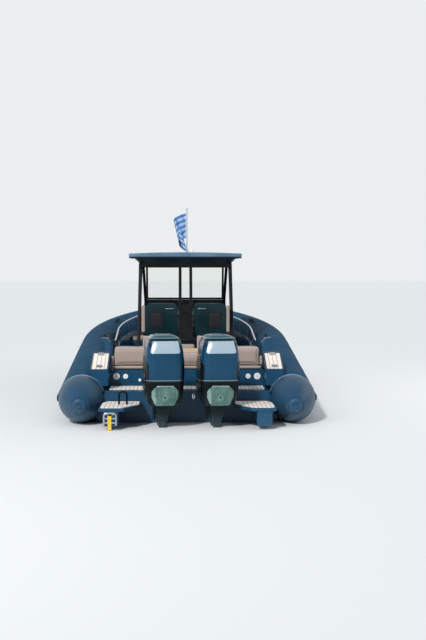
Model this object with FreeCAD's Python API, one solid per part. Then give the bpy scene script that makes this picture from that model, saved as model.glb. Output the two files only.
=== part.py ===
"""Rigid inflatable boat at full size: deep V hull, inflatable collar, hardtop and two outboard engines.

Axes: X to starboard, Y forward, Z up, in millimetres. The origin is on the centreline, at the
waterline and in the plane of the transom. The collar's centreline lies in a plane that rises forward,
and everything shaped round the collar is made from the same path.
"""
import FreeCAD
import Part
import math
import os

os.makedirs("parts", exist_ok=True)
Vector = FreeCAD.Vector
X_AXIS = Vector(1, 0, 0)
Y_AXIS = Vector(0, 1, 0)
Z_AXIS = Vector(0, 0, 1)
ORIGIN = Vector(0, 0, 0)

# Gaps
COLLAR_GAP = 0.4
SEAT_GAP = 5.0
FITTING_GAP = 0.6
SOFT_GAP = 0.3

# Collar
TUBE_RADIUS = 305.0
SEAM_X = 1390.0
SEAM_Y = 130.0
SEAM_Z = 310.0
COLLAR_TILT = 3.95
SIDE_LENGTH = 5000.0
SIDE_FLARE = 1.05
SHOULDER_RADIUS = 8740.0
SHOULDER_HEADING = 25.0
CONE_LENGTH = 560.0
CONE_END_RADIUS = 118.0
CAP_RADIUS = 102.0
CAP_LENGTH = 46.0
NUB_RADIUS = 26.0
NUB_LENGTH = 22.0
STRAKE_THICKNESS = 22.0
STRAKE_HALF_HEIGHT = 52.0

# Hull
DECK_Z = 220.0
COAMING_THICKNESS = 50.0
COAMING_RISE = 60.0
SPRAY_RAIL_WIDTH = 45.0
CHINE_FLAT = 60.0
SOLE_THICKNESS = 10.0
SOLE_Z = DECK_Z + SOLE_THICKNESS

# Stern moulding, aft seat and quarter mouldings
STERN_HALF_WIDTH = 1080.0
SHELF_Z = 416.0
PANEL_Y = 660.0
SEAT_BASE_Z = 640.0
SEAT_BASE_FRONT = 1450.0
TREAD_THICKNESS = 8.0
QUARTER_INNER_X = 1045.0
QUARTER_OUTER_X = 1285.0
PAD_THICKNESS = 55.0
BACKREST_TOP = 954.0
BACKREST_CENTRE_TOP = 872.0
BACKREST_SPLIT = 300.0
BACKREST_HALF_WIDTH = 990.0
BACKREST_Y = 682.0
BACKREST_DEPTH = 180.0

# Swim platforms
PLATFORM_TOP = 277.0
PLATFORM_THICKNESS = 42.0
PLATFORM_AFT_Y = -780.0
POD_BOTTOM = 50.0
POD_INNER_X = 870.0
POD_OUTER_X = 1060.0
RAIL_RADIUS = 12.5

# Helm module and seats
MODULE_HALF_WIDTH = 690.0
MODULE_AFT_Y = 2560.0
MODULE_STEP_Y = 3090.0
MODULE_FRONT_Y = 3990.0
BENCH_Z = 590.0
MODULE_TOP = 930.0
SEAT_INNER_X = 125.0
SEAT_OUTER_X = 640.0
SEAT_BACK_Y = 3400.0
SEAT_BACK_TOP = 1470.0
SHELL_THICKNESS = 60.0

# Console, windscreen and hardtop
CONSOLE_HALF_WIDTH = 705.0
CONSOLE_TOP = 1450.0
CONSOLE_FRONT_Y = 5850.0
CONSOLE_SEAT_Z = 600.0
CONSOLE_SEAT_FRONT = 6440.0
SCREEN_FOOT_Y = 5330.0
SCREEN_HEAD_Y = 5090.0
SCREEN_FOOT_X = 660.0
SCREEN_HEAD_X = 695.0
SCREEN_BAR = 30.0
SCREEN_POST = 48.0
GLASS_THICKNESS = 8.0
HARDTOP_UNDER = 2110.0
HARDTOP_EDGE_TOP = 2262.0
HARDTOP_CROWN = 20.0
HARDTOP_HALF_WIDTH = 916.0
HARDTOP_AFT_Y = 3780.0
HARDTOP_FRONT_Y = 5750.0
HARDTOP_RIM = 72.0
HARDTOP_CORE_HALF_WIDTH = 720.0
WHEEL_RADIUS = 185.0
WHEEL_CENTRE = Vector(370.0, 4385.0, 1125.0)
WHEEL_RAKE = 25.0

# Bow. A setback is a distance aft of the collar's centreline at the bow.
BOW_WALKWAY = 310.0
WELL_HALF_WIDTH = 325.0
WELL_SETBACK = 1644.0
BOW_SEAT_Z = 680.0
LOCKER_SETBACK = 784.0
LOCKER_Z = 965.0
HATCH_HALF_WIDTH = 210.0
HATCH_SETBACK = 719.0
HATCH_LENGTH = 295.0
HATCH_THICKNESS = 22.0
BOW_CLEAT_SETBACK = 394.0
HINGE_X = 130.0
HINGE_RADIUS = 9.0
HINGE_RISE = 13.0
HINGE_STAND_OFF = 12.0
HINGE_LEAF = 40.0
HINGE_EAR = 14.0

# Engines
ENGINE_X = 345.0
SWIVEL_Y = -200.0
TILT_Y = -30.0
TILT_Z = 430.0
REST_STEER = 6.0
BRACKET_GAP = 0.5
SWIVEL_TOP = 420.0
COWL_SPLIT_Z = 600.0
COWL_CAP_Z = 1158.0
COWL_TOP_Z = 1192.0
BAND_THICKNESS = 5.0
PLATE_Z = -330.0
PROP_Z = -548.0
PROP_RADIUS = 198.0
HUB_RADIUS = 56.0
SKEG_BOTTOM = -835.0


def rounded_wire(corners, place):
    """Closed wire; corners are (u, v, radius), and place turns a flat point into its real place."""
    joins = []
    count = len(corners)
    for index, (u, v, radius) in enumerate(corners):
        here = Vector(u, v, 0)
        back = Vector(*corners[index - 1][:2], 0) - here
        ahead = Vector(*corners[(index + 1) % count][:2], 0) - here
        back.normalize()
        ahead.normalize()
        if radius:
            half = back.getAngle(ahead) / 2
            run = radius / math.tan(half)
            bisector = back + ahead
            bisector.normalize()
            reach = radius / math.sin(half) - radius
            joins.append((here + back * run, here + bisector * reach, here + ahead * run))
        else:
            joins.append((here, None, here))
    edges = []
    for index, (entry, middle, leave) in enumerate(joins):
        if middle is not None:
            edges.append(Part.Arc(place(entry), place(middle), place(leave)).toShape())
        following = joins[(index + 1) % count][0]
        if leave.distanceToPoint(following) > 1e-6:
            edges.append(Part.makeLine(place(leave), place(following)))
    return Part.Wire(edges)


PLANES = {
    "xy": lambda u, v, w: Vector(u, v, w),
    "yz": lambda u, v, w: Vector(w, u, v),
    "xz": lambda u, v, w: Vector(u, w, v),
}


def slab(plane, corners, start, end):
    """Prism over a rounded outline in the named plane, from start to end along the third axis."""
    place = PLANES[plane]
    wire = rounded_wire(corners, lambda flat: place(flat.x, flat.y, start))
    return Part.Face(wire).extrude(place(0, 0, end - start))


def plate(plane, low, high, start, end, radius=0.0):
    """Prism over a rectangle from low to high, with its four corners rounded."""
    (u0, v0), (u1, v1) = low, high
    corners = [(u0, v0, radius), (u1, v0, radius), (u1, v1, radius), (u0, v1, radius)]
    return slab(plane, corners, start, end)


def box(low, high):
    """Plain box between two corners."""
    size = [far - near for near, far in zip(low, high)]
    return Part.makeBox(*size, Vector(*low))


def cushion(low, high, radius):
    """Box with every edge rounded, as the space that a cushion fills."""
    shape = box(low, high)
    return shape.makeFillet(radius, shape.Edges)


def mirrored(shape):
    """The same shape on the other side of the centreline."""
    return shape.mirror(ORIGIN, X_AXIS)


def both_sides(shape):
    """A shape and its mirror image, as separate solids."""
    return solids([shape, mirrored(shape)])


def solids(shapes):
    """One compound of all the solids in some shapes."""
    return Part.makeCompound([solid for shape in shapes for solid in shape.Solids])


def bar(start, end, radius):
    """Round bar between two points."""
    run = end - start
    return Part.makeCylinder(radius, run.Length, start, run)


def rounded_loft(rows, ruled=False):
    """Loft through level rounded rectangles; a row is height, half width, rear, front, corner."""
    wires = []
    for height, half, rear, front, corner in rows:
        corners = [(-half, rear, corner), (half, rear, corner), (half, front, corner), (-half, front, corner)]
        wires.append(rounded_wire(corners, lambda flat, level=height: Vector(flat.x, flat.y, level)))
    return Part.makeLoft(wires, True, ruled)


def leaning_post(foot, head, foot_width, head_width, depth, corner):
    """Post between two level rounded rectangles centred on foot and head."""
    wires = []
    for centre, width in ((foot, foot_width), (head, head_width)):
        corners = [
            (centre.x + across * width / 2, centre.y + along * depth / 2, corner)
            for across, along in ((-1, -1), (1, -1), (1, 1), (-1, 1))
        ]
        wires.append(rounded_wire(corners, lambda flat, level=centre.z: Vector(flat.x, flat.y, level)))
    return Part.makeLoft(wires, True, True)


def bent_rail(points, radius, bend):
    """Round rail along straight runs joined by tangent arcs of one bend radius."""
    joins = [(points[0], None, points[0])]
    for before, here, after in zip(points, points[1:], points[2:]):
        back = before - here
        ahead = after - here
        back.normalize()
        ahead.normalize()
        half = back.getAngle(ahead) / 2
        run = bend / math.tan(half)
        bisector = back + ahead
        bisector.normalize()
        middle = here + bisector * (bend / math.sin(half) - bend)
        joins.append((here + back * run, middle, here + ahead * run))
    joins.append((points[-1], None, points[-1]))
    edges = []
    for (entry, middle, leave), (following, _, _) in zip(joins, joins[1:] + [joins[-1]]):
        if middle is not None:
            edges.append(Part.Arc(entry, middle, leave).toShape())
        if leave.distanceToPoint(following) > 1e-6:
            edges.append(Part.makeLine(leave, following))
    profile = Part.Wire(Part.makeCircle(radius, points[0], points[1] - points[0]))
    return Part.Wire(edges).makePipeShell([profile], True, False)


# The collar's path, flat, before it is tilted up forward: a straight side, a long shoulder arc and
# the bow arc, whose radius closes the path on the centreline

def heading_vectors(angle):
    """Unit vectors along the path and outward from it, where it has turned inward by an angle."""
    turn = math.radians(angle)
    return Vector(-math.sin(turn), math.cos(turn), 0), Vector(math.cos(turn), math.sin(turn), 0)


SIDE_ALONG, SIDE_OUT = heading_vectors(-SIDE_FLARE)
SHOULDER_ALONG, SHOULDER_OUT = heading_vectors(SHOULDER_HEADING)
SIDE_START = Vector(SEAM_X, 0, 0)
SIDE_END = SIDE_START + SIDE_ALONG * SIDE_LENGTH
SHOULDER_CENTRE = SIDE_END - SIDE_OUT * SHOULDER_RADIUS
SHOULDER_END = SHOULDER_CENTRE + SHOULDER_OUT * SHOULDER_RADIUS
BOW_RADIUS = SHOULDER_END.x / SHOULDER_OUT.x
BOW_CENTRE = SHOULDER_END - SHOULDER_OUT * BOW_RADIUS
BOW_Y = SEAM_Y + (BOW_CENTRE.y + BOW_RADIUS) * math.cos(math.radians(COLLAR_TILT))
BOW_STEP_Y = CONSOLE_SEAT_FRONT + BOW_WALKWAY
WELL_FRONT_Y = BOW_Y - WELL_SETBACK
LOCKER_AFT_Y = BOW_Y - LOCKER_SETBACK
HATCH_AFT_Y = BOW_Y - HATCH_SETBACK
HATCH_FRONT_Y = HATCH_AFT_Y + HATCH_LENGTH


def incline(shape):
    """Tilt a shape from the collar's flat frame into the boat's frame."""
    placed = shape.copy()
    placed.rotate(ORIGIN, X_AXIS, COLLAR_TILT)
    placed.translate(Vector(0, SEAM_Y, SEAM_Z))
    return placed


def path_at(distance):
    """Point on the path and its heading, at a distance from the seam along the side and shoulder."""
    if distance <= SIDE_LENGTH:
        return SIDE_START + SIDE_ALONG * distance, -SIDE_FLARE
    heading = -SIDE_FLARE + math.degrees((distance - SIDE_LENGTH) / SHOULDER_RADIUS)
    return SHOULDER_CENTRE + heading_vectors(heading)[1] * SHOULDER_RADIUS, heading


def stood_at(outline, point, heading):
    """An outline drawn in offset and height, stood across the path at a point."""
    placed = outline.copy()
    placed.rotate(ORIGIN, Z_AXIS, heading)
    placed.translate(point)
    return placed


def sweep_side(outline, start=0.0, heading=SHOULDER_HEADING):
    """Outline swept along the starboard side from start, and round the shoulder to a heading."""
    begin = SIDE_START + SIDE_ALONG * start
    straight = stood_at(outline, begin, -SIDE_FLARE).extrude(SIDE_ALONG * (SIDE_LENGTH - start))
    bend = stood_at(outline, SIDE_END, -SIDE_FLARE)
    bend = bend.revolve(SHOULDER_CENTRE, Z_AXIS, SIDE_FLARE + heading)
    return straight.fuse(bend)


def sweep_bow(outline):
    """Outline swept round the bow arc, from shoulder to shoulder."""
    start = stood_at(outline, SHOULDER_END, SHOULDER_HEADING)
    return start.revolve(BOW_CENTRE, Z_AXIS, 180 - 2 * SHOULDER_HEADING)


def disc(radius, offset=0.0, height=0.0):
    """Round section face, across the path."""
    return Part.Face(Part.Wire(Part.makeCircle(radius, Vector(offset, 0, height), Y_AXIS)))


def half_width_at(along):
    """The path's distance from the centreline at a distance forward in the flat frame."""
    if along <= SIDE_END.y:
        return SEAM_X + along * math.tan(math.radians(SIDE_FLARE))
    if along <= SHOULDER_END.y:
        return SHOULDER_CENTRE.x + math.sqrt(SHOULDER_RADIUS ** 2 - (along - SHOULDER_CENTRE.y) ** 2)
    return math.sqrt(BOW_RADIUS ** 2 - (along - BOW_CENTRE.y) ** 2)


def collar_centre(y):
    """Half width and height of the collar's centreline at a place along the boat."""
    along = (y - SEAM_Y) / math.cos(math.radians(COLLAR_TILT))
    return half_width_at(along), SEAM_Z + (y - SEAM_Y) * math.tan(math.radians(COLLAR_TILT))


PLAN_HEIGHT = 1500.0
PLAN_AFT = 600.0


def inside_collar(offset):
    """Everything inside the collar's path moved inward by an offset, above and below its plane."""
    start = SIDE_START - SIDE_OUT * offset - SIDE_ALONG * PLAN_AFT
    side_end = SIDE_END - SIDE_OUT * offset
    shoulder_middle = heading_vectors((SHOULDER_HEADING - SIDE_FLARE) / 2)[1]
    middle = SHOULDER_CENTRE + shoulder_middle * (SHOULDER_RADIUS - offset)
    shoulder_end = SHOULDER_END - SHOULDER_OUT * offset
    bow = BOW_CENTRE + Y_AXIS * (BOW_RADIUS - offset)

    def other(point):
        return Vector(-point.x, point.y, 0)

    edges = [
        Part.makeLine(start, side_end),
        Part.Arc(side_end, middle, shoulder_end).toShape(),
        Part.Arc(shoulder_end, bow, other(shoulder_end)).toShape(),
        Part.Arc(other(shoulder_end), other(middle), other(side_end)).toShape(),
        Part.makeLine(other(side_end), other(start)),
        Part.makeLine(other(start), start),
    ]
    face = Part.Face(Part.Wire(edges))
    face.translate(Vector(0, 0, -PLAN_HEIGHT))
    return incline(face.extrude(Vector(0, 0, 2 * PLAN_HEIGHT)))


def cone(extra):
    """Pointed stern end of the starboard tube, in the flat frame, larger all round by extra."""
    drop = TUBE_RADIUS - CONE_END_RADIUS
    sweep_radius = (drop ** 2 + CONE_LENGTH ** 2) / (2 * drop)
    half_turn = math.asin(CONE_LENGTH / sweep_radius) / 2
    centre = TUBE_RADIUS - sweep_radius
    middle = (centre + sweep_radius * math.cos(half_turn), sweep_radius * math.sin(half_turn))

    def at(radius, back):
        return Vector(radius, -back, 0)

    edges = [
        Part.makeLine(at(0, -extra), at(TUBE_RADIUS + extra, -extra)),
        Part.Arc(
            at(TUBE_RADIUS + extra, -extra),
            at(middle[0] + extra, middle[1]),
            at(CONE_END_RADIUS + extra, CONE_LENGTH),
        ).toShape(),
        Part.makeLine(at(CONE_END_RADIUS + extra, CONE_LENGTH), at(0, CONE_LENGTH)),
        Part.makeLine(at(0, CONE_LENGTH), at(0, -extra)),
    ]
    solid = Part.Face(Part.Wire(edges)).revolve(ORIGIN, Y_AXIS, 360)
    return stood_at(solid, SIDE_START, -SIDE_FLARE)


def cone_cap():
    """Domed end cap of the starboard cone with its small nub, in the flat frame."""
    rim = CONE_LENGTH + CAP_LENGTH * 0.5
    top = CONE_LENGTH + CAP_LENGTH
    edges = [
        Part.makeLine(Vector(0, -CONE_LENGTH, 0), Vector(CAP_RADIUS, -CONE_LENGTH, 0)),
        Part.makeLine(Vector(CAP_RADIUS, -CONE_LENGTH, 0), Vector(CAP_RADIUS, -rim, 0)),
        Part.Arc(
            Vector(CAP_RADIUS, -rim, 0), Vector(CAP_RADIUS * 0.8, -top + 5, 0), Vector(NUB_RADIUS, -top, 0)
        ).toShape(),
        Part.makeLine(Vector(NUB_RADIUS, -top, 0), Vector(NUB_RADIUS, -top - NUB_LENGTH, 0)),
        Part.makeLine(Vector(NUB_RADIUS, -top - NUB_LENGTH, 0), Vector(0, -top - NUB_LENGTH, 0)),
        Part.makeLine(Vector(0, -top - NUB_LENGTH, 0), Vector(0, -CONE_LENGTH, 0)),
    ]
    solid = Part.Face(Part.Wire(edges)).revolve(ORIGIN, Y_AXIS, 360)
    return stood_at(solid, SIDE_START, -SIDE_FLARE)


def on_tube(shape, distance, angle):
    """Stand a fitting, drawn on a level surface at the origin, on the starboard tube."""
    point, heading = path_at(distance)
    placed = shape.copy()
    placed.translate(Vector(0, 0, TUBE_RADIUS + FITTING_GAP))
    placed.rotate(ORIGIN, Y_AXIS, 90 - angle)
    return incline(stood_at(placed, point, heading))


parts = {}

# Collar
tube_outline = disc(TUBE_RADIUS)
tube_side = incline(sweep_side(tube_outline))
parts["tube_starboard"] = tube_side
parts["tube_port"] = mirrored(tube_side)
parts["tube_bow"] = incline(sweep_bow(tube_outline))
parts["tube_cones"] = both_sides(incline(solids([cone(0.0), cone_cap()])))

clear_outline = disc(TUBE_RADIUS + COLLAR_GAP)
collar_room_side = incline(sweep_side(clear_outline))
collar_room = [
    collar_room_side,
    mirrored(collar_room_side),
    incline(sweep_bow(clear_outline)),
    incline(cone(COLLAR_GAP)),
    mirrored(incline(cone(COLLAR_GAP))),
]


def strake_outline():
    """Rubbing strake section: it follows the tube inside and is flat with rounded ends outside."""
    inner = TUBE_RADIUS + FITTING_GAP
    reach = math.asin(STRAKE_HALF_HEIGHT / inner)
    low = Vector(inner * math.cos(reach), 0, -STRAKE_HALF_HEIGHT)
    high = Vector(low.x, 0, STRAKE_HALF_HEIGHT)
    outer_x = inner + STRAKE_THICKNESS
    edges = [
        Part.Arc(low, Vector(inner, 0, 0), high).toShape(),
        Part.makeLine(high, Vector(outer_x, 0, STRAKE_HALF_HEIGHT * 0.55)),
        Part.makeLine(Vector(outer_x, 0, STRAKE_HALF_HEIGHT * 0.55), Vector(outer_x, 0, -STRAKE_HALF_HEIGHT * 0.55)),
        Part.makeLine(Vector(outer_x, 0, -STRAKE_HALF_HEIGHT * 0.55), low),
    ]
    return Part.Face(Part.Wire(edges))


strake_side = incline(sweep_side(strake_outline()))
strake_bow = incline(sweep_bow(strake_outline()))
parts["rub_strake"] = strake_side.fuse([strake_bow, mirrored(strake_side)])


def grab_handle():
    """Moulded carrying handle: two round feet and an arched grip."""
    feet = [
        Part.makeCylinder(34, 8, Vector(0, side * 110, 0)) for side in (-1, 1)
    ]
    grip = bent_rail(
        [Vector(0, -110, 4), Vector(0, -110, 52), Vector(0, 110, 52), Vector(0, 110, 4)], 13, 30
    )
    return feet[0].fuse([feet[1], grip])


def inflation_valve():
    """Round valve cover with a raised cap."""
    return Part.makeCylinder(38, 7).fuse(Part.makeCylinder(22, 16))


fittings = []
# Kind of fitting, distance along the tube, angle round it from straight outboard
for fitting, distance, angle in (
    (grab_handle, 2100.0, 112.0),
    (grab_handle, 4300.0, 112.0),
    (grab_handle, 6600.0, 112.0),
    (inflation_valve, 1500.0, 138.0),
    (inflation_valve, 5200.0, 138.0),
    (inflation_valve, 7600.0, 138.0),
):
    fittings.append(both_sides(on_tube(fitting(), distance, angle)))
parts["tube_fittings"] = solids(fittings)


# Hull: sections from keel to chine to the collar's centreline
hull_stations = (
    # y, keel height, chine half width, chine height
    (0.0, -500.0, 1060.0, -80.0),
    (1500.0, -512.0, 1085.0, -62.0),
    (3000.0, -520.0, 1110.0, -35.0),
    (4500.0, -512.0, 1110.0, 5.0),
    (BOW_Y - 3384.0, -480.0, 1060.0, 60.0),
    (BOW_Y - 2184.0, -385.0, 950.0, 140.0),
    (BOW_Y - 1484.0, -270.0, 840.0, 205.0),
    (BOW_Y - 884.0, -60.0, 660.0, 380.0),
    (BOW_Y - 384.0, 330.0, 420.0, 600.0),
    (BOW_Y - 84.0, 690.0, 200.0, 800.0),
)
SPRAY_RAIL_PLACES = (0.36, 0.68)


def hull_section(y, keel_z, chine_x, chine_z):
    """Closed section of the hull with two spray rails a side, a chine flat and the flared topside."""
    slimmer = chine_x / hull_stations[0][2]
    rail = SPRAY_RAIL_WIDTH * slimmer
    flat = CHINE_FLAT * slimmer
    half = [(0.0, keel_z)]
    for share in SPRAY_RAIL_PLACES:
        x = share * (chine_x - flat)
        z = keel_z + share * (chine_z - keel_z)
        half += [(x, z), (x + rail, z)]
    sheer_x, sheer_z = collar_centre(y)
    half += [(chine_x - flat, chine_z), (chine_x, chine_z), (sheer_x, sheer_z), (sheer_x, sheer_z + COAMING_RISE)]
    outline = half + [(-x, z) for x, z in reversed(half[1:])]
    return Part.makePolygon([Vector(x, y, z) for x, z in outline + outline[:1]])


hull = Part.makeLoft([hull_section(*row) for row in hull_stations], True, True)
hull = hull.cut(collar_room)
COAMING_OFFSET = TUBE_RADIUS + COAMING_THICKNESS
recess_profile = [
    (-50.0, DECK_Z, 0), (WELL_FRONT_Y + 10.0, DECK_Z, 0), (WELL_FRONT_Y + 10.0, BOW_SEAT_Z - 40.0, 0),
    (BOW_Y + TUBE_RADIUS, BOW_SEAT_Z - 40.0, 0), (BOW_Y + TUBE_RADIUS, 2500.0, 0), (-50.0, 2500.0, 0),
]
cockpit = inside_collar(COAMING_OFFSET)
recess = cockpit.common(slab("yz", recess_profile, -1800.0, 1800.0))
hull = hull.cut(recess)
parts["hull"] = hull

inner_floor = inside_collar(COAMING_OFFSET + 1.0)
sole_plan = plate("xy", (-1500.0, SEAT_BASE_FRONT), (1500.0, BOW_STEP_Y), DECK_Z, SOLE_Z)
well_plan = plate("xy", (-WELL_HALF_WIDTH, BOW_STEP_Y), (WELL_HALF_WIDTH, WELL_FRONT_Y), DECK_Z, SOLE_Z)
parts["sole"] = inner_floor.common(sole_plan.fuse(well_plan))

# Stern moulding: transom riser, motor-well shelf, upper panel and base of the aft seat
stern_profile = [
    (0.0, DECK_Z, 0), (0.0, SHELF_Z, 12), (PANEL_Y, SHELF_Z, 0), (PANEL_Y, SEAT_BASE_Z, 12),
    (SEAT_BASE_FRONT, SEAT_BASE_Z, 25), (SEAT_BASE_FRONT, DECK_Z, 0),
]
stern = slab("yz", stern_profile, -STERN_HALF_WIDTH, STERN_HALF_WIDTH)
stern = stern.cut([hull] + collar_room)
parts["stern_moulding"] = stern

# Quarter mouldings on the tube shoulders, with the fin forward of each
STEP_AFT = (180.0, 682.0)
STEP_FRONT = (700.0, 862.0)
quarter_profile = [
    (150.0, 470.0, 0), (STEP_AFT[0], STEP_AFT[1], 15), (STEP_FRONT[0], STEP_FRONT[1], 10),
    (760.0, 888.0, 15), (880.0, 700.0, 60), (1560.0, 640.0, 0), (1560.0, 470.0, 0),
]
fin_profile = [
    (720.0, 600.0, 0), (760.0, 820.0, 60), (1120.0, 1052.0, 50), (1260.0, 1052.0, 60), (1440.0, 850.0, 90),
    (1560.0, 600.0, 0),
]
# Seen from astern the fin is a horn: its head leans outboard over a narrow neck
horn_profile = [
    (QUARTER_INNER_X, 600.0, 0), (QUARTER_INNER_X, 960.0, 60), (QUARTER_INNER_X + 62, 1052.0, 50),
    (QUARTER_INNER_X + 158, 1052.0, 12), (QUARTER_INNER_X + 140, 1012.0, 10), (QUARTER_INNER_X + 92, 985.0, 45),
    (QUARTER_INNER_X + 84, 880.0, 60), (QUARTER_INNER_X + 110, 600.0, 0),
]
quarter = slab("yz", quarter_profile, QUARTER_INNER_X, QUARTER_OUTER_X)
fin = slab("yz", fin_profile, QUARTER_INNER_X, QUARTER_OUTER_X).common(slab("xz", horn_profile, 700.0, 1570.0))
quarter = quarter.fuse(fin)
quarter = quarter.cut([stern, hull] + collar_room)
quarter = max(quarter.Solids, key=lambda solid: solid.Volume)
parts["quarter_mouldings"] = both_sides(quarter)

step_slope = math.atan2(STEP_FRONT[1] - STEP_AFT[1], STEP_FRONT[0] - STEP_AFT[0])
STEP_LENGTH = math.hypot(STEP_FRONT[0] - STEP_AFT[0], STEP_FRONT[1] - STEP_AFT[1])
STEP_MARGIN = 18.0


def on_step(shape):
    """Lay a level shape, drawn from the step's aft edge forward, on the step's slope."""
    placed = shape.copy()
    placed.rotate(ORIGIN, X_AXIS, math.degrees(step_slope))
    placed.translate(Vector(0, *STEP_AFT))
    return placed


step_pad = plate(
    "xy", (QUARTER_INNER_X + STEP_MARGIN, STEP_MARGIN), (QUARTER_OUTER_X - STEP_MARGIN, STEP_LENGTH - STEP_MARGIN),
    0.0, TREAD_THICKNESS, 14.0,
)
step_treads = both_sides(on_step(step_pad))


def pad_eye(x, y):
    """Low oval fitting that stands on a tread."""
    return plate("xy", (x - 42, y - 22), (x + 42, y + 22), TREAD_THICKNESS, TREAD_THICKNESS + 26, 21.0)


step_middle_x = (QUARTER_INNER_X + QUARTER_OUTER_X) / 2
EYE_INSET = 70.0
step_eyes = [on_step(pad_eye(step_middle_x, place)) for place in (EYE_INSET, STEP_LENGTH - EYE_INSET)]

# Aft seat
PAD_HALF_WIDTH = QUARTER_INNER_X - SEAT_GAP
PAD_TOP = SEAT_BASE_Z + PAD_THICKNESS
parts["aft_seat_pad"] = cushion(
    (-PAD_HALF_WIDTH, PANEL_Y + SEAT_GAP, SEAT_BASE_Z), (PAD_HALF_WIDTH, SEAT_BASE_FRONT - SEAT_GAP, PAD_TOP), 18
)
side_back = cushion(
    (BACKREST_SPLIT, BACKREST_Y, PAD_TOP), (BACKREST_HALF_WIDTH, BACKREST_Y + BACKREST_DEPTH, BACKREST_TOP), 22
)
centre_back = cushion(
    (-BACKREST_SPLIT + SOFT_GAP, BACKREST_Y, PAD_TOP),
    (BACKREST_SPLIT - SOFT_GAP, BACKREST_Y + BACKREST_DEPTH, BACKREST_CENTRE_TOP), 22,
)
parts["aft_backrest"] = solids([side_back, mirrored(side_back), centre_back])
arm_profile = [(690.0, PAD_TOP, 0), (690.0, 832.0, 25), (1250.0, 770.0, 30), (1330.0, PAD_TOP, 0)]
arm_pad = slab("yz", arm_profile, BACKREST_HALF_WIDTH + SEAT_GAP, PAD_HALF_WIDTH)
parts["aft_arm_pads"] = both_sides(arm_pad)

# Cockpit table between the aft seat and the bench
TABLE_TOP = 830.0
TABLE_Y = (1560.0, 2260.0)
TABLE_HALF_WIDTH = 330.0
table_middle = Vector(0, sum(TABLE_Y) / 2, SOLE_Z)
table = plate("xy", (-TABLE_HALF_WIDTH, TABLE_Y[0]), (TABLE_HALF_WIDTH, TABLE_Y[1]), TABLE_TOP - 28, TABLE_TOP, 60)
parts["cockpit_table"] = table
pedestal = Part.makeCylinder(130, 12, table_middle)
pedestal = pedestal.fuse(Part.makeCylinder(38, TABLE_TOP - 28 - SOLE_Z, table_middle))
parts["table_pedestal"] = pedestal.fuse(
    Part.makeCylinder(110, 10, Vector(0, table_middle.y, TABLE_TOP - 38))
)

# Stern shelf tread and platform treads
shelf_tread = plate("xy", (-1030.0, 190.0), (1030.0, PANEL_Y - 30.0), SHELF_Z, SHELF_Z + TREAD_THICKNESS, 20)


def platform_plan(inset):
    """Plan of the starboard swim platform, its edge moved in by an inset."""
    return [
        (600.0 + inset, 0.0 - inset, inset), (600.0 + inset, -400.0, 60), (810.0 + inset * 0.5, PLATFORM_AFT_Y + inset, 60),
        (1118.0 - inset, PLATFORM_AFT_Y + inset, 50), (1118.0 - inset, -230.0, 60), (1070.0 - inset, 0.0 - inset, inset),
    ]


platform = slab("xy", platform_plan(0.0), PLATFORM_TOP - PLATFORM_THICKNESS, PLATFORM_TOP)
pod = plate("xz", (POD_INNER_X, POD_BOTTOM), (POD_OUTER_X, PLATFORM_TOP - 10), PLATFORM_AFT_Y + 12, 0.0, 30)
platform = platform.fuse(pod).cut(collar_room)
parts["swim_platforms"] = both_sides(platform)
TREAD_INSET = 24.0
platform_tread = slab("xy", platform_plan(TREAD_INSET), PLATFORM_TOP, PLATFORM_TOP + TREAD_THICKNESS)
parts["stern_treads"] = solids([shelf_tread, platform_tread, mirrored(platform_tread), step_treads])

# Ladder under the port platform, its strap and the boarding hoop
pod_aft_y = PLATFORM_AFT_Y + 12
LADDER_Y = pod_aft_y - RAIL_RADIUS - 2
ladder_frame = bent_rail(
    [Vector(-1045, LADDER_Y, 62), Vector(-1045, LADDER_Y, 216), Vector(-895, LADDER_Y, 216), Vector(-895, LADDER_Y, 62)],
    RAIL_RADIUS, 35,
)
ladder_rungs = [
    bar(Vector(-1045, LADDER_Y, z), Vector(-895, LADDER_Y, z), 10) for z in (95, 150)
]
ladder_tabs = [
    box((x - 15, LADDER_Y, z - 12), (x + 15, pod_aft_y, z + 12)) for x in (-1005, -935) for z in (95, 205)
]
parts["ladder"] = ladder_frame.fuse(ladder_rungs + ladder_tabs)
STRAP_Y = LADDER_Y - RAIL_RADIUS - 1.0
parts["ladder_strap"] = slab(
    "xz", [(-1000, 5, 8), (-950, 5, 8), (-950, 185, 8), (-1000, 185, 8)], STRAP_Y - 4.0, STRAP_Y
)
HOOP_OUTER_X = -875.0
HOOP_INNER_X = -775.0
HOOP_Y = -400.0
HOOP_TOP = 447.0
HOOP_BEND = 45.0
hoop_foot_z = PLATFORM_TOP + TREAD_THICKNESS
hoop = bent_rail(
    [
        Vector(HOOP_OUTER_X, HOOP_Y, hoop_foot_z), Vector(HOOP_OUTER_X, HOOP_Y, HOOP_TOP),
        Vector(HOOP_INNER_X, HOOP_Y, HOOP_TOP), Vector(HOOP_INNER_X, HOOP_Y, hoop_foot_z),
    ],
    RAIL_RADIUS, HOOP_BEND,
)
parts["boarding_hoop"] = hoop

# Round fittings on the upper panel
panel_discs = []
# x, height, radius
for x, z, radius in ((-960, 552, 45), (-836, 552, 34), (836, 552, 34), (960, 552, 45), (-642, 502, 19)):
    panel_discs.append(Part.makeCylinder(radius, 10, Vector(x, PANEL_Y - 10, z), Y_AXIS))
parts["stern_discs"] = solids(panel_discs)

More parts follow.
